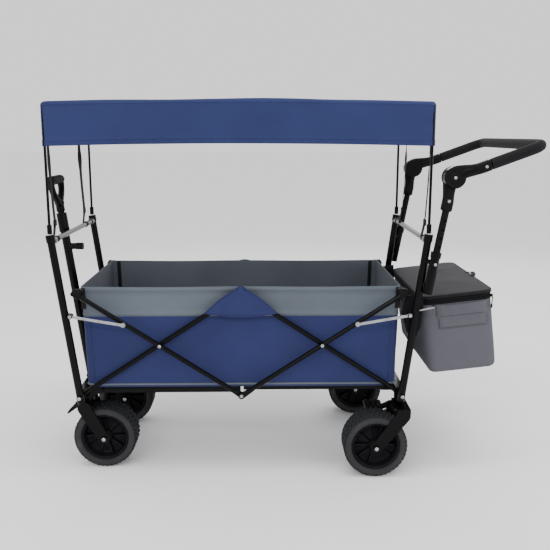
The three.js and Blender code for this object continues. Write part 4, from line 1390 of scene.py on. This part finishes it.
COVER_STEPS = 14
COVER_SIDES = 24


def blunted(value):
    """A cosine or a sine, pushed outwards for a cross-section with rounded corners."""
    return math.copysign(abs(value) ** 0.6, value)


def cover_sleeve(shape, centre, line, reach, wide, thick, shift):
    """A sleeve from beside the hinge disc along a tube, offset to the outside of the bend at first."""
    across = Y.cross(line)
    start = 4 * MM
    verts = []
    for k in range(COVER_STEPS + 1):
        share = k / COVER_STEPS
        width = wide[0] + (wide[1] - wide[0]) * smooth(share * 1.5)
        depth = thick[0] + (thick[1] - thick[0]) * smooth((share - 0.42) / 0.4)
        middle = centre + line * (start + (reach - start) * share)
        middle += across * shift * (1 - smooth(share * 1.3))
        for m in range(COVER_SIDES):
            a = 2 * math.pi * m / COVER_SIDES
            u, v = blunted(math.cos(a)), blunted(math.sin(a))
            verts.append(middle + across * (u * width / 2) + Y * (v * depth / 2))
    faces = []
    for i in range(COVER_STEPS):
        faces += belt(i * COVER_SIDES, (i + 1) * COVER_SIDES, COVER_SIDES)
    last = COVER_STEPS * COVER_SIDES
    faces += [tuple(range(COVER_SIDES)), tuple(range(last, last + COVER_SIDES))]
    return shape.add(verts, faces)


def make_handle_covers():
    """Moulded sleeves that run from the hinge discs along the legs and the bow."""
    hinge = PIVOT["push_angle"]
    bow, leg = Shape(), Shape()
    for _, side in SIDES:
        bow_at, leg_at = hinge + Y * side * 290.6 * MM, hinge + Y * side * 274.6 * MM
        cover_sleeve(bow, bow_at, BOW_LINE, 101 * MM, (42 * MM, 31 * MM), (17 * MM, 29 * MM), -9 * MM)
        cover_sleeve(leg, leg_at, -PUSH_LINE, 92 * MM, (36 * MM, 31 * MM), (15 * MM, 28.4 * MM), 8 * MM)
    hang(bow.make("push_bow_covers", FINISH["black_plastic"]), "push_bow")
    hang(leg.make("push_leg_covers", FINISH["black_plastic"]), "push_legs")


PULL_LEAN = 62 / 478        # how far the pull handle leans forwards for each metre of height


def pull_at(height, y=0.0):
    """A point on the line of the pull handle, by its height."""
    foot = PIVOT["pull_pivot"]
    return Vector((foot.x - (height - foot.z) * PULL_LEAN, y, height))


def make_pull_grip():
    """A D-shaped grip: two curved legs from a socket to a thick ribbed bar."""
    _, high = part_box("pull_grip")
    bar = high.z - 12.5 * MM
    shape = Shape()
    along = (pull_at(1.0) - pull_at(0.0)).normalized()
    socket = [(0, 0.5), (12, 0.5), (13, 3), (13, 20), (15, 27), (12, 36), (0, 38)]
    lathe(shape, [(r * MM, h * MM) for r, h in socket], pull_at(bar - 98 * MM), along, sides=32)
    for _, side in SIDES:
        leg = [(76, 4), (66, 13), (55, 26), (44, 39), (33, 48), (22, 52.5), (10, 54), (0, 54)]
        line = [pull_at(bar - drop * MM, side * y * MM) for drop, y in leg]
        tube(shape, line, 11.5 * MM, 20, grow=lambda share: 1.0 - 0.16 * math.sin(math.pi * share))
    profile = [(0, -66), (8, -66), (12, -63.5), (13.2, -60)]
    for k in range(-6, 7):
        profile += [(13.2, k * 8 - 2.6), (14, k * 8 - 1.6), (14, k * 8 + 1.6), (13.2, k * 8 + 2.6)]
    profile += [(13.2, 60), (12, 63.5), (8, 66), (0, 66)]
    lathe(shape, [(r * MM, y * MM) for r, y in profile], pull_at(bar), Y, sides=32)
    grip = shape.make("pull_handle_grip", FINISH["black_plastic"])
    hang(grip, "pull_inner")
    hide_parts("pull_grip")


# ---------- the CAD pieces that stay ----------
FINE_EDGE = 0.8 * MM
ROUND_EDGE = 3 * MM         # the corners of the tubes of the arms, the posts and the push handle


def refine(node, slot, edge):
    """Rounded edges, smooth tubes and a procedural finish on a piece of the CAD model."""
    node.data.polygons.foreach_set("use_smooth", [True] * len(node.data.polygons))
    modify(node, "WELD", merge_threshold=1e-5)
    modify(node, "DECIMATE", decimate_type="DISSOLVE", angle_limit=math.radians(1))
    modify(node, "BEVEL", width=edge, segments=3, limit_method="ANGLE", angle_limit=math.radians(50),
           use_clamp_overlap=True, harden_normals=False)
    modify(node, "WEIGHTED_NORMAL", keep_sharp=True)
    node.material_slots[0].material = FINISH[slot]


def finish_cad():
    for part in frame["record"]["subparts"]:
        round_tube = any(word in part["node"] for word in ("_arm_", "_post_", "push_leg", "push_bow"))
        refine(NODES[part["node"]], part["material_slot"], ROUND_EDGE if round_tube else FINE_EDGE)


make_camera()
make_studio()
make_floor()
make_canopy()
make_canopy_straps()
make_tub()
make_floor_mat()
make_bag()
make_wheels()
make_bolts()
make_hinge_covers()
make_arm_caps()
make_handle_covers()
make_pull_grip()
finish_cad()
